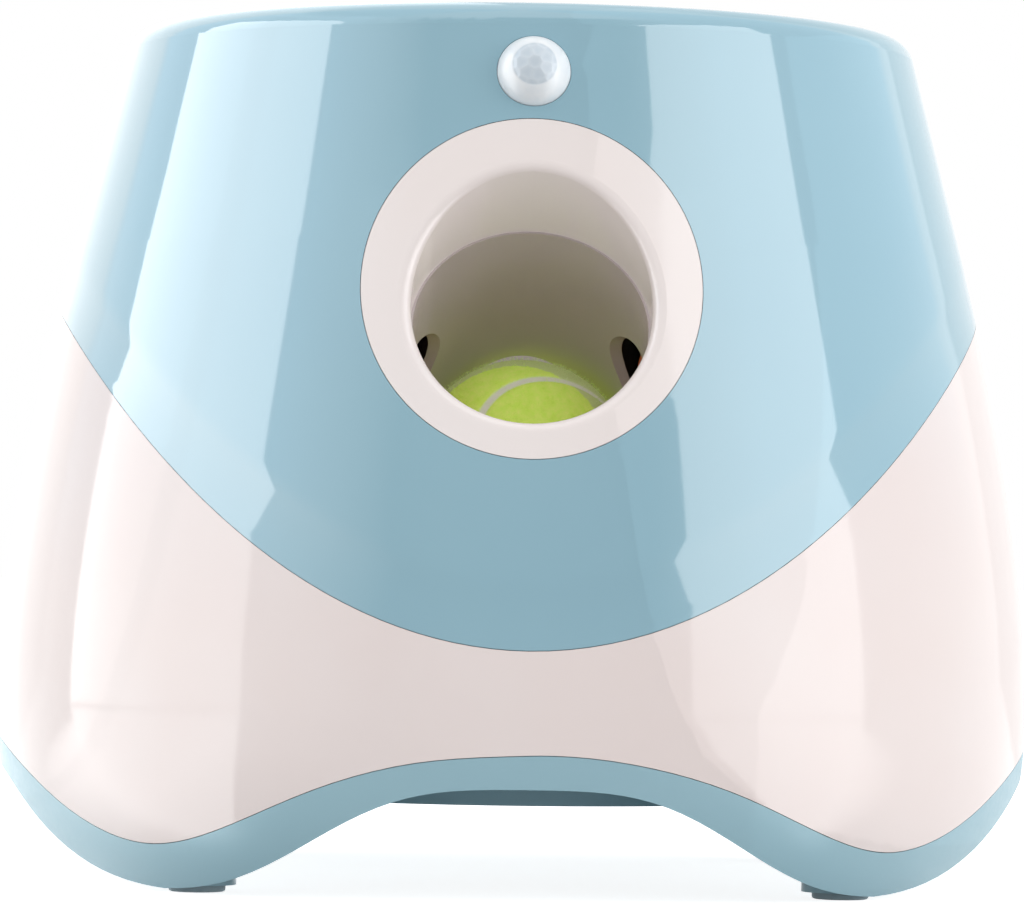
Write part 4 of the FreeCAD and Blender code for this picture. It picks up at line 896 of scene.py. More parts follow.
    def room_level(self, tree: Tree, angle: Node) -> Node:
        """How bright the room looks in the gloss, by azimuth: dim in front, pale aside, a sweep behind.

        Args:
            tree: Node tree that gets the nodes.
            angle: Azimuth in degrees.

        Returns:
            The level.
        """
        turn = add_node(tree, "ShaderNodeMath", {0: angle}, operation="ABSOLUTE")
        aside = add_node(tree, "ShaderNodeMapRange", {"Value": turn, "From Min": self.aside[0],
                                                      "From Max": self.aside[1]})
        side = add_node(tree, "ShaderNodeMapRange", {
            "Value": angle, "From Min": -1.0, "From Max": 1.0, "To Min": self.side_room[0],
            "To Max": self.side_room[1]})
        room = add_node(tree, "ShaderNodeMix", {"Factor": aside, 2: self.front_room, 3: side})
        for (edge, level), way in ((self.sweep_left, -1), (self.sweep_right, 1)):
            behind = add_node(tree, "ShaderNodeMapRange", {"Value": angle, "From Min": edge - way,
                                                           "From Max": edge + way})
            room = add_node(tree, "ShaderNodeMix", {"Factor": behind, 2: room, 3: level})
        return room

    def box_pools(self, tree: Tree, place: Socket) -> Node:
        """How bright the floor looks in the gloss: lit before each soft box, so that the bands run on down.

        A pool keeps to the box's angles as seen from a point low on the shell's own side. Its outer edge is
        soft near the object and sharp further off.

        Args:
            tree: The floor's node tree.
            place: Coordinates of the floor in metres.

        Returns:
            Strength of the floor's glow.
        """
        level = self.room_level(tree, self.azimuth(tree, place))
        away = add_node(tree, "ShaderNodeVectorMath", {0: place}, operation="LENGTH").outputs["Value"]
        edge = self.pool_edge
        for box in self.boxes:
            side = math.copysign(1.0, box.azimuth)
            x, y = side * self.pool_seen_from[0], self.pool_seen_from[1]
            near, far = box.corner_angles(x, y)
            way = add_node(tree, "ShaderNodeVectorMath", {0: place, 1: (x, y, 0.0)}, operation="SUBTRACT")
            soft = add_node(tree, "ShaderNodeMapRange", {
                "Value": away, "From Min": self.pool_spread_reach[0], "From Max": self.pool_spread_reach[1],
                "To Min": self.pool_spread, "To Max": edge})
            outer = add_node(tree, "ShaderNodeMath", {0: soft, 1: side, 2: near if side < 0 else far},
                             operation="MULTIPLY_ADD")
            rise = (outer, near + edge) if side < 0 else (near - edge, near + edge)
            fall = (far + edge, far - edge) if side < 0 else (outer, far - edge)
            inside = self.within(tree, self.azimuth(tree, way), rise, fall)
            before = add_node(tree, "ShaderNodeMapRange", {"Value": away,
                                                           "From Min": box.distance + self.pool_end,
                                                           "From Max": box.distance - self.pool_end})
            inside = add_node(tree, "ShaderNodeMath", {0: inside, 1: before}, operation="MULTIPLY")
            level = add_node(tree, "ShaderNodeMath", {0: inside, 1: box.gloss, 2: level},
                             operation="MULTIPLY_ADD")
        return level

    def build_world(self) -> None:
        """White to the camera, a white sweep behind and over the object in its gloss, and an even fill."""
        world = bpy.data.worlds.new("studio_world")
        bpy.context.scene.world = world
        tree = empty_tree(world)
        path = add_node(tree, "ShaderNodeLightPath").outputs
        way = add_node(tree, "ShaderNodeTexCoord").outputs["Generated"]
        parts = add_node(tree, "ShaderNodeSeparateXYZ", {"Vector": way}).outputs
        angle = self.azimuth(tree, way)
        over = add_node(tree, "ShaderNodeMapRange", {"Value": parts["Z"], "From Min": self.ceiling_rise[0],
                                                     "From Max": self.ceiling_rise[1]})
        room = self.room_level(tree, angle)
        room = add_node(tree, "ShaderNodeMix", {"Factor": over, 2: room, 3: self.ceiling})
        fill = add_node(tree, "ShaderNodeMapRange", {
            "Value": parts["Y"], "From Min": self.fill_turn[0], "From Max": self.fill_turn[1],
            "To Min": self.front_fill, "To Max": self.back_fill})
        gloss = add_node(tree, "ShaderNodeMath", {0: path["Is Glossy Ray"], 1: path["Is Transmission Ray"]},
                         operation="MAXIMUM")
        level = add_node(tree, "ShaderNodeMix", {"Factor": gloss, 2: fill, 3: room})
        level = add_node(tree, "ShaderNodeMix", {"Factor": path["Is Camera Ray"], 2: level, 3: 1.0})
        turn = add_node(tree, "ShaderNodeMath", {0: angle}, operation="ABSOLUTE")
        tinted = self.within(tree, turn, self.aside, self.tint_end)
        raised = add_node(tree, "ShaderNodeMapRange", {"Value": parts["Z"], "From Min": self.tint_rise[0],
                                                       "From Max": self.tint_rise[1]})
        tinted = add_node(tree, "ShaderNodeMath", {0: tinted, 1: raised}, operation="MULTIPLY")
        tinted = add_node(tree, "ShaderNodeMath", {0: tinted, 1: gloss}, operation="MULTIPLY")
        colour = add_node(tree, "ShaderNodeMix", {"Factor": tinted, 6: linear("#FFFFFF"),
                                                  7: linear(self.side_tint)}, data_type="RGBA")
        glow = add_node(tree, "ShaderNodeBackground", {"Color": colour, "Strength": level})
        add_node(tree, "ShaderNodeOutputWorld", {"Surface": glow})

    def build(self) -> None:
        """Build the whole studio, with the camera first."""
        self.build_camera()
        self.build_world()
        self.build_floor()
        for box in self.boxes:
            box.build()
        bpy.context.scene.view_settings.view_transform = "Standard"


# ---------------------------------------------------------------- carried-over parts

@dataclass(frozen=True)
class Carried:
    """Nodes whose own shape is right, with the finish of each."""

    finishes: tuple[tuple[Finish, tuple[str, ...]], ...] = (
        (SKY_BLUE_GLOSS, ("upper_shell",)),
        (WHITE_GLOSS, ("lower_shell", "control_panel")),
        (MUZZLE_WHITE, ("muzzle_ring",)),
        (WHITE_INNER, ("hopper_funnel",)),
        (BARREL_WHITE_SHADED, ("barrel_left", "barrel_right")),
        (SKY_BLUE_SATIN, ("base_tray", "battery_door")),
        (ORANGE_TYRE, ("wheel_tyre_left", "wheel_tyre_right")),
        (GREY_NYLON, ("launch_cradle", "wheel_hub_left", "wheel_hub_right", "pusher_pad", "pusher_guide")),
        (WHITE_ACETAL, ("pusher_rack", "drive_pinion")),
        (BLACK_ABS, ("feeder_gearbox", "sensor_holder", "speaker", "dc_jack", "board_parts")),
        (ZINC_PLATE, ("motor_bracket_left", "motor_bracket_right")),
        (MOTOR_CAN, ("motor_left", "motor_right", "feeder_motor")),
        (GROUND_SHAFT, ("motor_shaft_left", "motor_shaft_right", "pinion_shaft")),
        (BUSH_BRASS, ("motor_bushes",)),
        (GREEN_BOARD, ("sensor_board", "ball_sensors", "control_board", "main_board")),
        (LIGHT_PIPE, ("status_lights",)),
        (CELL_SLEEVE, ("battery_cells",)),
        (BUTTON_RUBBER, ("power_button", "distance_button")),
    )

    def dress(self) -> None:
        """Assign every finish."""
        for finish, nodes in self.finishes:
            for node in nodes:
                mesh = frame["nodes"][node].data
                mesh.materials.clear()
                mesh.materials.append(finish.material())
                log.info("%s: %s", node, finish.name)


# ---------------------------------------------------------------- geometry trees

def new_tree(name: str, inputs: Mapping[str, str]) -> Tree:
    """Start a geometry tree that takes a geometry and named inputs, and returns a geometry.

    Args:
        name: Name of the tree.
        inputs: Kind of each further input, by its name.

    Returns:
        The tree, without nodes.
    """
    tree = bpy.data.node_groups.new(name, "GeometryNodeTree")
    tree.interface.new_socket("Geometry", in_out="OUTPUT", socket_type="NodeSocketGeometry")
    for title, kind in {"Geometry": "Geometry", **inputs}.items():
        tree.interface.new_socket(title, in_out="INPUT", socket_type="NodeSocket" + kind)
    return tree


def end_tree(tree: Tree, copies: Node, material: Socket) -> Tree:
    """End a geometry tree: make its copies real, give them their material and hand them out.

    Args:
        tree: The tree.
        copies: Node that sets the copies down.
        material: Input that holds the material.

    Returns:
        The same tree.
    """
    solid = add_node(tree, "GeometryNodeRealizeInstances", {"Geometry": copies})
    dressed = add_node(tree, "GeometryNodeSetMaterial", {"Geometry": solid, "Material": material})
    add_node(tree, "NodeGroupOutput", {"Geometry": dressed})
    return tree


def apply_tree(holder: Object, tree: Tree, values: Mapping[str, Any], body: str, finish: Finish,
               replaced: Sequence[str] = ()) -> Object:
    """Run a geometry tree on an object, keep the result as a plain mesh, and finish the piece.

    Args:
        holder: Object that the tree starts from.
        tree: The geometry tree.
        values: Value of each named input.
        body: Body that the piece moves with.
        finish: Its finish.
        replaced: Nodes that it stands for.

    Returns:
        The same object, with the result as its mesh.
    """
    modifier = holder.modifiers.new(tree.name, "NODES")
    modifier.node_group = tree
    for item in tree.interface.items_tree:
        if item.item_type == "SOCKET" and item.in_out == "INPUT" and item.name in values:
            modifier[item.identifier] = values[item.name]
    holder.update_tag()
    bpy.context.view_layer.update()
    graph = bpy.context.evaluated_depsgraph_get()
    made = bpy.data.meshes.new_from_object(holder.evaluated_get(graph), depsgraph=graph)
    holder.modifiers.remove(modifier)
    made.name = holder.name
    holder.data = made
    finish_piece(holder, body, finish, replaced)
    return holder


@dataclass(frozen=True)
class Repeat:
    """Pieces of one node, made by setting finished shapes down at several places with a geometry tree."""

    node: str
    body: str = "housing"

    def tree(self, name: str = "set_down_copies") -> Tree:
        """Node tree that puts a shape on every point and turns its Z axis to the point's own direction.

        Args:
            name: Name of the tree.

        Returns:
            The tree, made once.
        """
        found = bpy.data.node_groups.get(name)
        if found is not None:
            return found
        tree = new_tree(name, {"Shape": "Object", "Material": "Material"})
        given = add_node(tree, "NodeGroupInput").outputs
        points = add_node(tree, "GeometryNodeMeshToPoints", {"Mesh": given["Geometry"]}, mode="VERTICES")
        way = add_node(tree, "GeometryNodeInputNamedAttribute", {"Name": "way"}, data_type="FLOAT_VECTOR")
        turn = add_node(tree, "FunctionNodeAlignRotationToVector", {"Vector": way}, axis="Z")
        shape = add_node(tree, "GeometryNodeObjectInfo", {"Object": given["Shape"]}).outputs["Geometry"]
        placed = add_node(tree, "GeometryNodeInstanceOnPoints", {"Points": points, "Instance": shape,
                                                                 "Rotation": turn})
        return end_tree(tree, placed, given["Material"])

    def repeat(self, name: str, shape: Object, places: Sequence[tuple[Vector, Vector]], finish: Finish,
               replaced: Sequence[str]) -> Object:
        """Set the shape down at every place and drop the original.

        Args:
            name: Name of the piece.
            shape: The finished shape, pointing up from the origin.
            places: Point and direction of each copy, in metres.
            finish: Its finish.
            replaced: Nodes that it stands for.

        Returns:
            The piece.
        """
        mesh = bpy.data.meshes.new(name)
        mesh.from_pydata([tuple(point) for point, _ in places], [], [])
        ways = mesh.attributes.new("way", "FLOAT_VECTOR", "POINT")
        ways.data.foreach_set("vector", np.array([tuple(way) for _, way in places]).ravel())
        values = {"Shape": shape, "Material": finish.material()}
        piece = apply_tree(new_object(name, mesh), self.tree(), values, self.body, finish, replaced)
        bpy.data.objects.remove(shape)
        log.info("%s: %d copies, %d faces", name, len(places), len(piece.data.polygons))
        return piece


# ---------------------------------------------------------------- screws

@dataclass(frozen=True)
class ScrewSet(Repeat):
    """Pan-head thread-forming screws of one node: domed head with a cross recess, and a rolled thread.

    Lengths are in millimetres. The head's top has its rings at shares of its own radius. The neck has rings
    at a height, raised from the core, 0, to the crest, 1, the thread has them at a share of the pitch, and
    the tip has rings of a share of the core's radius, a distance from the end.
    """

    head_height: float = 1.8
    dome_drop: float = 0.5
    dome_power: float = 3.2
    brim: float = 0.85
    edge: float = 0.06
    top_rings: tuple[float, ...] = (0.03, 0.1, 0.16, 0.22, 0.28, 0.34, 0.4, 0.46, 0.52, 0.6, 0.7, 0.8, 0.88,
                                    0.94, 0.98)
    top_share: float = 0.96
    wings: int = 4
    wing_half: float = 0.20
    wing_slope: float = 0.16
    wing_reach: float = 1.05
    wing_end: float = 0.5
    recess_depth: float = 1.1
    recess_cone: float = 0.45
    cone_radius: float = 1.5
    shank_radius: float = 1.25
    thread_depth: float = 0.28
    pitch: float = 0.8
    thread: tuple[tuple[float, float], ...] = ((0.0, 0.0), (0.30, 0.0), (0.44, 0.0), (0.56, 1.0), (0.70, 1.0))
    thread_start: float = 0.6
    thread_room: float = 1.6
    thread_stop: float = 0.9
    neck: tuple[tuple[float, float], ...] = ((-0.4, 0.6), (0.3, 0.6))
    tip: tuple[tuple[float, float], ...] = ((1.0, 0.85), (0.55, 0.05), (0.0, 0.02))

    def recess(self, turn: float, away: float) -> float:
        """Depth of the cross recess at a point of the head's top.

        Args:
            turn: The point's angle in radians.
            away: Its distance from the axis.

        Returns:
            The depth.
        """
        across = abs(math.sin(turn * self.wings / 2)) * away * math.sqrt(0.5)
        wing = max(0.0, 1 - max(0.0, across - self.wing_half) / self.wing_slope)
        wing *= max(0.0, 1 - max(0.0, away - self.wing_reach) / self.wing_end)
        return self.recess_depth * min(1.0, wing) * (1 - self.recess_cone * min(1.0, away / self.cone_radius))

    def head(self, radius: float, steps: int = 48) -> list[list[Vector]]:
        """Head as rings whose top is pressed in by the recess.

        Args:
            radius: Radius of the head.
            steps: Points round each ring.

        Returns:
            The rings. The head's underside is at zero and its top points down the Z axis.
        """
        rings = [[Vector((0, 0, self.recess_depth - self.head_height))]]
        for share in self.top_rings:
            away = share * radius * self.top_share
            top = self.head_height - self.dome_drop * (away / radius) ** self.dome_power
            turns = [2 * math.pi * step / steps for step in range(steps)]
            points = ring(away, -top, steps)
            for turn, point in zip(turns, points):
                point.z += self.recess(turn, away)
            rings.append(points)
        rings += [ring(radius, self.brim - self.head_height, steps), ring(radius, -self.edge, steps),
                  ring(radius - self.edge, 0.0, steps), ring(self.shank_radius - 0.2, 0.0, steps)]
        return rings

    def shank(self, reach: float, steps: int = 20) -> list[list[Vector]]:
        """Threaded shank as helical rings, closed by a blunt cone.

        Args:
            reach: Length of the shank.
            steps: Points round each ring.

        Returns:
            The rings.
        """
        turns = int((reach - self.thread_room) / self.pitch)
        wall = [(height, raised, 0.0) for height, raised in self.neck]
        wall += [(self.thread_start + (turn + part) * self.pitch, raised, self.pitch)
                 for turn in range(turns) for part, raised in self.thread]
        rings = []
        for height, raised, lead in wall:
            level = ring(self.shank_radius - self.thread_depth * (1 - raised), 0.0, steps)
            for step, point in enumerate(level):
                point.z = min(height + lead * step / steps, reach - self.thread_stop)
            rings.append(level)
        core = self.shank_radius - self.thread_depth
        return rings + [ring(core * share, reach - short, steps) for share, short in self.tip]

    def build(self) -> None:
        """Make every screw of the node."""
        found = find_screws(self.node)
        verts, faces = skin(self.head(found[0].radius / MM))
        more, loops = skin(self.shank(found[0].reach / MM))
        faces += [tuple(corner + len(verts) for corner in loop) for loop in loops]
        shape = mesh_object(self.node + "_shape", verts + more, faces)
        self.repeat(self.node + "_detailed", shape, [(part.seat, part.way) for part in found], SCREW_ZINC,
                    [self.node])


# ---------------------------------------------------------------- sensor lens

@dataclass(frozen=True)
class SensorLens:
    """Milky lens of the motion sensor: faceted dome, smooth shoulder, skirt and flange in one thin moulding.

    Lengths are in millimetres and angles in degrees. A facet ring is a number of facets and their lean.
    """

    node: str = "sensor_lens"
    body: str = "housing"
    lean: float = 14.4
    bulge: float = 8.0
    radius: float = 10.1
    wall: float = 1.2
    skirt_wall: float = 1.4
    flange: float = 1.45
    flange_top: float = 1.2
    flange_depth: float = 4.9
    faceted: float = 6.3
    facet_rings: tuple[tuple[int, float], ...] = ((1, 0.0), (7, 20.0), (13, 38.0))
    flatness: float = 0.985
    shoulder: float = 0.4
    facet_edge: float = 0.035
    edge_thin: float = 0.75
    steps: int = 180
    levels: int = 60

    def way(self, tilt: float, turn: float) -> np.ndarray:
        """Direction that leans from the lens's axis and is turned round it, both in radians."""
        return np.array((math.sin(tilt) * math.cos(turn), math.sin(tilt) * math.sin(turn), math.cos(tilt)))

    def facet_axes(self) -> np.ndarray:
        """Directions of the facets: one in the middle and two rings round it."""
        return np.array([self.way(math.radians(lean), 2 * math.pi * (step + 0.5 * (count % 2)) / count)
                         for count, lean in self.facet_rings for step in range(count)])

    def dome(self, sphere: float, middle: float) -> tuple[list[list[Vector]], list[float]]:
        """Outer face of the dome, ring by ring from the top.

        Args:
            sphere: Radius of the sphere round the facets.
            middle: Height of the sphere's centre.

        Returns:
            The rings, and how thin the wall is at each of their points.
        """
        axes = self.facet_axes()
        last = math.asin(self.radius / sphere)
        rings, thin = [[Vector((0, 0, middle + sphere * self.flatness))]], [1.0]
        for level in range(1, self.levels + 1):
            tilt = last * level / self.levels
            points = []
            for step in range(self.steps):
                way = self.way(tilt, 2 * math.pi * step / self.steps)
                second, first = np.sort(axes @ way)[-2:]
                flat = min(1.0, self.flatness / first)
                blend = min(1.0, max(0.0, (self.faceted - sphere * math.sin(tilt)) / self.shoulder))
                reach = sphere * (1 - blend * (1 - flat))
                edge = min(1.0, (first - second) / self.facet_edge)
                points.append(Vector(way * reach) + Vector((0, 0, middle)))
                thin.append(blend * (self.edge_thin + (1 - self.edge_thin) * edge))
            rings.append(points)
        return rings, thin

    def place(self) -> Matrix:
        """Where the lens sits in its node.

        Returns:
            Matrix, in metres, that takes the middle of the dome's foot to its place and +Z to its axis.
        """
        lean = math.radians(self.lean)
        way = Vector((0, -math.cos(lean), math.sin(lean)))
        side = Vector((0, math.sin(lean), math.cos(lean)))
        points = node_points(self.node)
        along, across = points @ np.array(way), points @ np.array(side)
        seat = way * (float(along.max()) - self.bulge * MM) + side * float(across.max() + across.min()) / 2
        return Matrix.Translation(seat) @ Matrix((Vector((1, 0, 0)), side, way)).transposed().to_4x4()

    def build(self) -> None:
        """Make the lens in its place and store where the wall is thin."""
        sphere = (self.radius ** 2 + self.bulge ** 2) / (2 * self.bulge)
        middle = self.bulge - sphere
        rings, thin = self.dome(sphere, middle)
        inner = self.radius - self.skirt_wall
        outer = self.radius + self.flange
        hollow = sphere - self.wall
        wall = [(self.radius, -self.flange_top + 0.15), (outer - 0.05, -self.flange_top + 0.1),
                (outer, -self.flange_top), (outer, -self.flange_depth), (inner, -self.flange_depth - 0.05),
                (inner, -self.flange_top + 0.3), (inner * 0.97, 0.0)]
        wall += [(math.sin(tilt) * hollow, middle + math.cos(tilt) * hollow)
                 for tilt in np.linspace(math.asin(inner * 0.93 / hollow), 0.0, 10)]
        rings += [ring(radius, height, self.steps) for radius, height in wall]
        verts, faces = skin(rings)
        place = self.place()
        piece = mesh_object("sensor_lens_faceted", [place @ vert for vert in verts], faces)
        if len(piece.data.vertices) != len(verts):
            raise ValueError("the points of the lens were merged")
        store(piece, "thin", thin + [0.0] * (len(verts) - len(thin)))
        finish_piece(piece, self.body, LENS_MILK, [self.node])
        log.info("sensor lens: %d faces", len(faces))


# ---------------------------------------------------------------- battery contacts

@dataclass(frozen=True)
class BatteryContacts(Repeat):
    """Conical wire springs and dished plates at the ends of the three rows of cells, in millimetres."""

    node: str = "battery_contacts"
    wire: float = 0.45
    coils: int = 4
    coil_steps: int = 32
    flat_share: float = 0.2
    rising_share: float = 0.65
    sheet: float = 0.3
    sheet_gap: float = 0.05
    dish: float = 3.6
    dish_slope: float = 1.6
    dish_power: float = 0.8
    plate_cells: int = 28

    def spring(self, base: float, tip: float, reach: float, sides: int = 8) -> Object:
        """Wire wound from a wide base to a narrow tip.

        Args:
            base: Radius at the base.
            tip: Radius at the tip.
            reach: Height of the spring.
            sides: Points round the wire.

        Returns:
            The spring, standing on the origin along Z.
        """
        steps = self.coils * self.coil_steps
        rings = []
        for step in range(steps + 1):
            share = step / steps
            turn = 2 * math.pi * self.coils * share
            risen = min(1.0, max(0.0, (share - self.flat_share) / self.rising_share))
            rise = self.wire + (reach - 2 * self.wire) * risen
            middle = base - self.wire - (base - tip) * share
            out = Vector((math.cos(turn), math.sin(turn), 0))
            rings.append([out * (middle + point.x) + UP * (rise + point.y)
                          for point in ring(self.wire, 0.0, sides)])
        verts, faces = skin(rings)
        faces += [tuple(range(sides)), tuple(range(steps * sides, (steps + 1) * sides))]
        return mesh_object("contact_spring_shape", verts, faces)

    def plate(self, half_y: float, half_z: float, thick: float) -> Object:
        """Contact plate with a round dish in its middle.

        Args:
            half_y: Half its width.
            half_z: Half its height.
            thick: Depth that it fills from the cell to the wall.

        Returns:
            The plate, its back towards +Z.
        """
        count = self.plate_cells
        front = thick / 2 - self.sheet - self.sheet_gap
        depth = thick - 2 * self.sheet - 3 * self.sheet_gap
        verts, faces = [], []
        for row in range(count + 1):
            y = (2 * row / count - 1) * (half_y - self.sheet)
            for column in range(count + 1):
                x = (2 * column / count - 1) * (half_z - self.sheet)
                sunk = min(1.0, max(0.0, (self.dish - math.hypot(x, y)) / self.dish_slope)) ** self.dish_power
                verts.append(Vector((x, y, front - depth * sunk)) * MM)
        for row in range(count):
            for column in range(count):
                start = row * (count + 1) + column
                faces.append((start, start + 1, start + count + 2, start + count + 1))
        piece = mesh_object("contact_plate_shape", verts, faces)
        work = bmesh.new()
        work.from_mesh(piece.data)
        bmesh.ops.solidify(work, geom=work.faces[:], thickness=self.sheet * MM)
        work.to_mesh(piece.data)
        work.free()
        tidy_mesh(piece)
        return piece

    def build(self) -> None:
        """Put a spring where the node has a cone and a dished plate where it has a flat one."""
        springs, plates, cones, sheets = [], [], [], []
        for points in node_islands(self.node):
            low, high = Vector(points.min(0)), Vector(points.max(0))
            middle, size = (low + high) / 2, (high - low) / MM
            widths = [np.ptp(points[np.abs(points[:, 0] - end.x) < 1e-5][:, 1]) / MM for end in (low, high)]
            if abs(widths[0] - widths[1]) > 1:
                back = widths[0] > widths[1]
                seat = Vector((low.x if back else high.x, middle.y, middle.z))
                springs.append((seat, Vector((1 if back else -1, 0, 0))))
                cones.append((max(widths) / 2, min(widths) / 2, size.x))
            else:
                plates.append((middle, Vector((1 if middle.x > 0 else -1, 0, 0))))
                sheets.append((size.y / 2, size.z / 2, size.x))
        self.repeat("battery_springs", self.spring(*cones[0]), springs, SPRING_NICKEL, [self.node])
        self.repeat("battery_plates", self.plate(*sheets[0]), plates, SPRING_NICKEL, [])


# ---------------------------------------------------------------- rubber feet

@dataclass(frozen=True)
class RubberFeet(Repeat):
    """Four silicone rubber pads with rings in the tread so that the launcher doesn't slide. Lengths are in
    millimetres."""

    node: str = "rubber_feet"
    hollow: float = 1.5
    groove: float = 0.5
    groove_rings: tuple[float, ...] = (2.4, 4.0, 5.6)
    groove_width: float = 0.9
    groove_slope: float = 0.2
    gap: float = 0.02

    def build(self) -> None:
        """Make the pads."""
        found = [(Vector(part.min(0)), Vector(part.max(0))) for part in node_islands(self.node)]
        low, high = found[0]
        radius = (high.x - low.x) / 2 / MM - self.gap
        height = high.z / MM - self.gap
        outline = [(0.0, self.groove), (self.hollow - 0.3, self.groove), (self.hollow, 0.0)]
        for start in self.groove_rings:
            end = start + self.groove_width
            outline += [(start, 0.0), (start + self.groove_slope, self.groove),
                        (end - self.groove_slope, self.groove), (end, 0.0)]
        outline += [(radius - 0.6, 0.0), (radius - 0.15, 0.25), (radius, 0.7), (radius, height),
                    (0.0, height)]
        shape = mesh_object("rubber_foot_shape", *skin([ring(away, level, 64) for away, level in outline]))
        places = [(Vector(((low.x + high.x) / 2, (low.y + high.y) / 2, 0)), UP) for low, high in found]
        self.repeat("rubber_feet_treaded", shape, places, FOOT_SILICONE, [self.node])


# ---------------------------------------------------------------- tennis ball

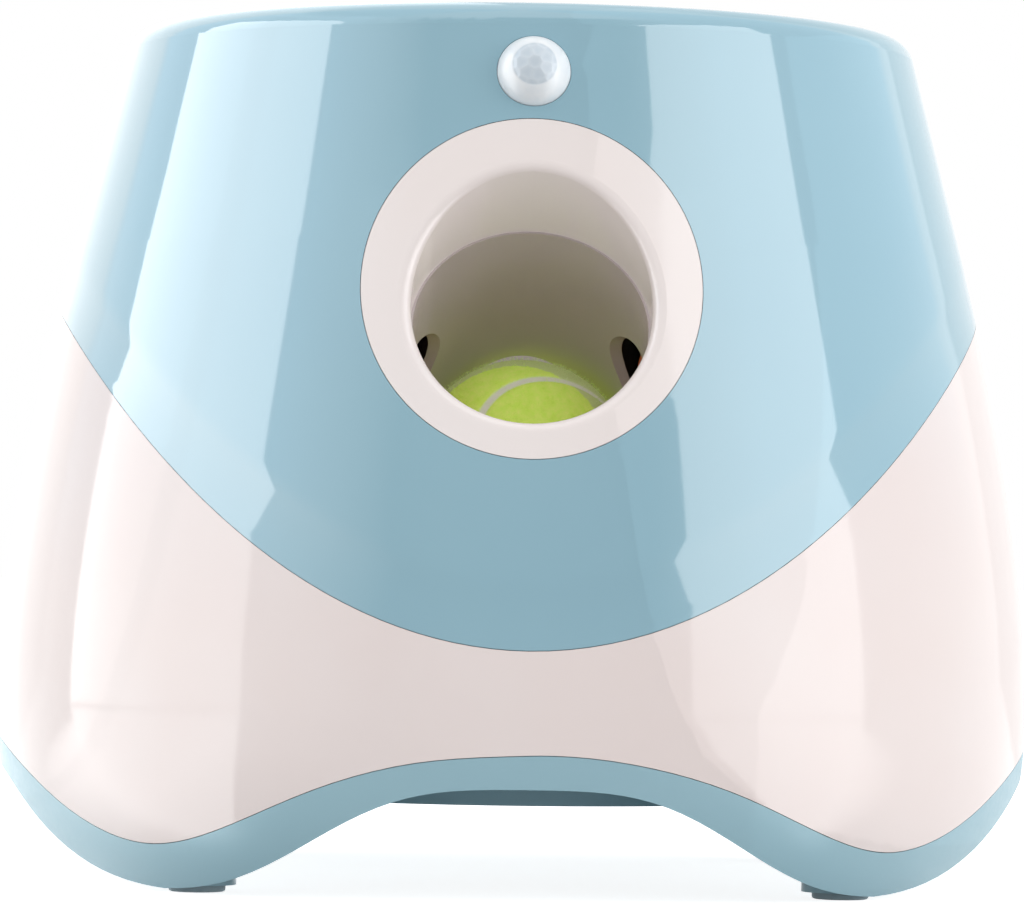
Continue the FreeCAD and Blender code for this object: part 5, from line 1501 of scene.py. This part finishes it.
@dataclass(frozen=True)
class TennisBall:
    """The ball in the pocket: felt body with the figure-of-eight seam, and a nap of short fibres.

    Lengths are in millimetres, angles in degrees, and the density in fibres to a square metre.
    """

    node: str = "tennis_ball"
    body: str = "ball"
    seam_width: float = 1.9
    seam_depth: float = 0.45
    seam_swing: float = 0.76
    seam_fade: float = 0.56
    seam_bare: float = 0.2
    shoulder: float = 1.6
    fibre_length: float = 1.1
    fibre_radius: float = 0.045
    fibre_density: float = 520000.0
    nap_share: float = 0.75
    fibre_bend: float = 0.55
    fibre_lean: float = 0.75
    fibre_vary: tuple[float, float] = (0.55, 1.15)
    turn: tuple[float, float, float] = (46.6, -54.4, -74.2)
    # Where the painted shade lies: the way its band faces, how far it reaches and how sharp its edges are.
    rim_shade_from: tuple[float, float, float] = (-0.19, -0.97, 0.14)
    rim_shade_reach: tuple[float, float] = (-0.1, 0.49)
    rim_shade_sharp: tuple[float, float] = (4.0, 6.0)

    def seam_points(self, steps: int = 720) -> np.ndarray:
        """Points of the seam on a sphere of radius 1, turned as the ball lies.

        Args:
            steps: Number of points.

        Returns:
            One row for each point.
        """
        angle = np.linspace(0, 2 * math.pi, steps, endpoint=False)
        near, far = self.seam_swing, 1 - self.seam_swing
        points = np.stack([near * np.cos(angle) + far * np.cos(3 * angle),
                           near * np.sin(angle) - far * np.sin(3 * angle),
                           2 * math.sqrt(near * far) * np.sin(2 * angle)], 1)
        about_x, about_y, about_z = [Matrix.Rotation(math.radians(turn), 3, axis)
                                     for turn, axis in zip(self.turn, "XYZ")]
        return points @ np.array(about_x @ about_y @ about_z).T

    def build_body(self) -> Object:
        """Make the felt body with its seam sunk in, and store where the seam is and where the felt takes
        painted shade.

        Returns:
            The body's object.
        """
        work = bmesh.new()
        bmesh.ops.create_icosphere(work, subdivisions=7, radius=1.0)
        verts = np.array([vert.co[:] for vert in work.verts])
        faces = [[vert.index for vert in face.verts] for face in work.faces]
        work.free()
        verts /= np.linalg.norm(verts, axis=1)[:, None]
        low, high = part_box(self.node)
        centre, radius = np.array((low + high) / 2), (high.x - low.x) / 2
        seam = self.seam_points()
        closest = np.concatenate([(part @ seam.T).max(1) for part in np.array_split(verts, 40)])
        past = np.arccos(np.clip(closest, -1, 1)) * radius / MM - self.seam_width / 2
        pillow = np.clip(past / self.shoulder, 0, 1)
        depth = self.seam_depth * (1 - pillow * pillow * (3 - 2 * pillow))
        scaled = verts * (radius - self.fibre_length * self.nap_share * MM - depth[:, None] * MM)
        piece = mesh_object("ball_felt_body", scaled + centre, faces)
        order = np.array([vert.co[:] for vert in piece.data.vertices]) - centre
        if np.abs(order - scaled).max() > 1e-7:
            raise ValueError("the points of the ball changed order")
        store(piece, "seam", 1 - np.clip(past / self.seam_fade, 0, 1))
        # Painted shade: a band round the ball's upper rim, as seen from the front, stored for the felt to
        # turn grey.
        facing = verts @ np.array(self.rim_shade_from)
        (low_edge, high_edge), (low_sharp, high_sharp) = self.rim_shade_reach, self.rim_shade_sharp
        worn = np.clip(0.5 + (high_edge - facing) * high_sharp, 0, 1)
        worn *= np.clip(0.5 + (facing - low_edge) * low_sharp, 0, 1)
        store(piece, "worn", worn * np.clip(verts[:, 2] * high_sharp, 0, 1))
        finish_piece(piece, self.body, FELT, [self.node])
        return piece

    def fibre_tree(self) -> Tree:
        """Node tree that plants short bent fibres all over the felt, but not in the seam.

        Returns:
            The tree.
        """
        tree = new_tree("ball_nap", {"Fibre length": "Float", "Fibre radius": "Float", "Density": "Float",
                                     "Seed": "Int", "Material": "Material"})
        given = add_node(tree, "NodeGroupInput").outputs
        seam = add_node(tree, "GeometryNodeInputNamedAttribute", {"Name": "seam"}, data_type="FLOAT")
        off_seam = add_node(tree, "FunctionNodeCompare", {0: seam, 1: self.seam_bare}, data_type="FLOAT",
                            operation="LESS_THAN")
        spread = add_node(tree, "GeometryNodeDistributePointsOnFaces", {
            "Mesh": given["Geometry"], "Selection": off_seam, "Density": given["Density"],
            "Seed": given["Seed"]})
        line = add_node(tree, "GeometryNodeCurvePrimitiveBezierSegment", {
            "Resolution": 3, "Start": (0, 0, 0), "Start Handle": (0, 0, 0.5), "End Handle": (0.1, 0, 0.9),
            "End": (self.fibre_bend, 0, 0.95)})
        round_three = add_node(tree, "GeometryNodeCurvePrimitiveCircle", {"Resolution": 3, "Radius": 1.0})
        thin = add_node(tree, "ShaderNodeMath", {0: given["Fibre radius"], 1: given["Fibre length"]},
                        operation="DIVIDE")
        thin = add_node(tree, "ShaderNodeCombineXYZ", {"X": thin, "Y": thin, "Z": thin})
        profile = add_node(tree, "GeometryNodeTransform", {"Geometry": round_three, "Scale": thin})
        fibre = add_node(tree, "GeometryNodeCurveToMesh", {"Curve": line, "Profile Curve": profile})
        most = (self.fibre_lean, self.fibre_lean, 3.14)
        lean = add_node(tree, "FunctionNodeRandomValue", {0: [-part for part in most], 1: most,
                                                          "Seed": given["Seed"]}, data_type="FLOAT_VECTOR")
        lean = add_node(tree, "FunctionNodeEulerToRotation", {0: lean})
        turn = add_node(tree, "FunctionNodeRotateRotation", {"Rotation": spread.outputs["Rotation"],
                                                             "Rotate By": lean}, rotation_space="LOCAL")
        vary = add_node(tree, "FunctionNodeRandomValue", {2: self.fibre_vary[0], 3: self.fibre_vary[1],
                                                          "Seed": 5}, data_type="FLOAT")
        size = add_node(tree, "ShaderNodeMath", {0: vary, 1: given["Fibre length"]}, operation="MULTIPLY")
        placed = add_node(tree, "GeometryNodeInstanceOnPoints", {"Points": spread, "Instance": fibre,
                                                                 "Rotation": turn, "Scale": size})
        return end_tree(tree, placed, given["Material"])

    def build_nap(self, felt: Object) -> Object:
        """Grow the nap on the felt body as a piece of its own.

        Args:
            felt: The felt body.

        Returns:
            The nap's object.
        """
        holder = new_object("ball_felt_nap", felt.data.copy())
        return apply_tree(holder, self.fibre_tree(), {
            "Fibre length": self.fibre_length * MM, "Fibre radius": self.fibre_radius * MM,
            "Density": self.fibre_density, "Seed": 3, "Material": FELT.material()}, self.body, FELT)

    def build(self) -> None:
        """Make the ball."""
        felt = self.build_body()
        log.info("ball body: %d faces", len(felt.data.polygons))
        nap = self.build_nap(felt)
        log.info("ball nap: %d faces", len(nap.data.polygons))


# ---------------------------------------------------------------- all of it


def main() -> None:
    """Build the studio and every sub-assembly, in order."""
    logging.basicConfig(level=logging.INFO, format="%(name)s: %(message)s")
    Studio().build()
    Carried().dress()
    SensorLens().build()
    for node in ("housing_screws", "shell_screws", "barrel_screws", "bracket_screws", "motor_screws",
                 "guide_screws", "cradle_screws", "board_screws", "battery_door_screw"):
        ScrewSet(node).build()
    ScrewSet("pusher_screw", body="pusher").build()
    BatteryContacts().build()
    RubberFeet().build()
    TennisBall().build()


if __name__ == "__main__":
    main()
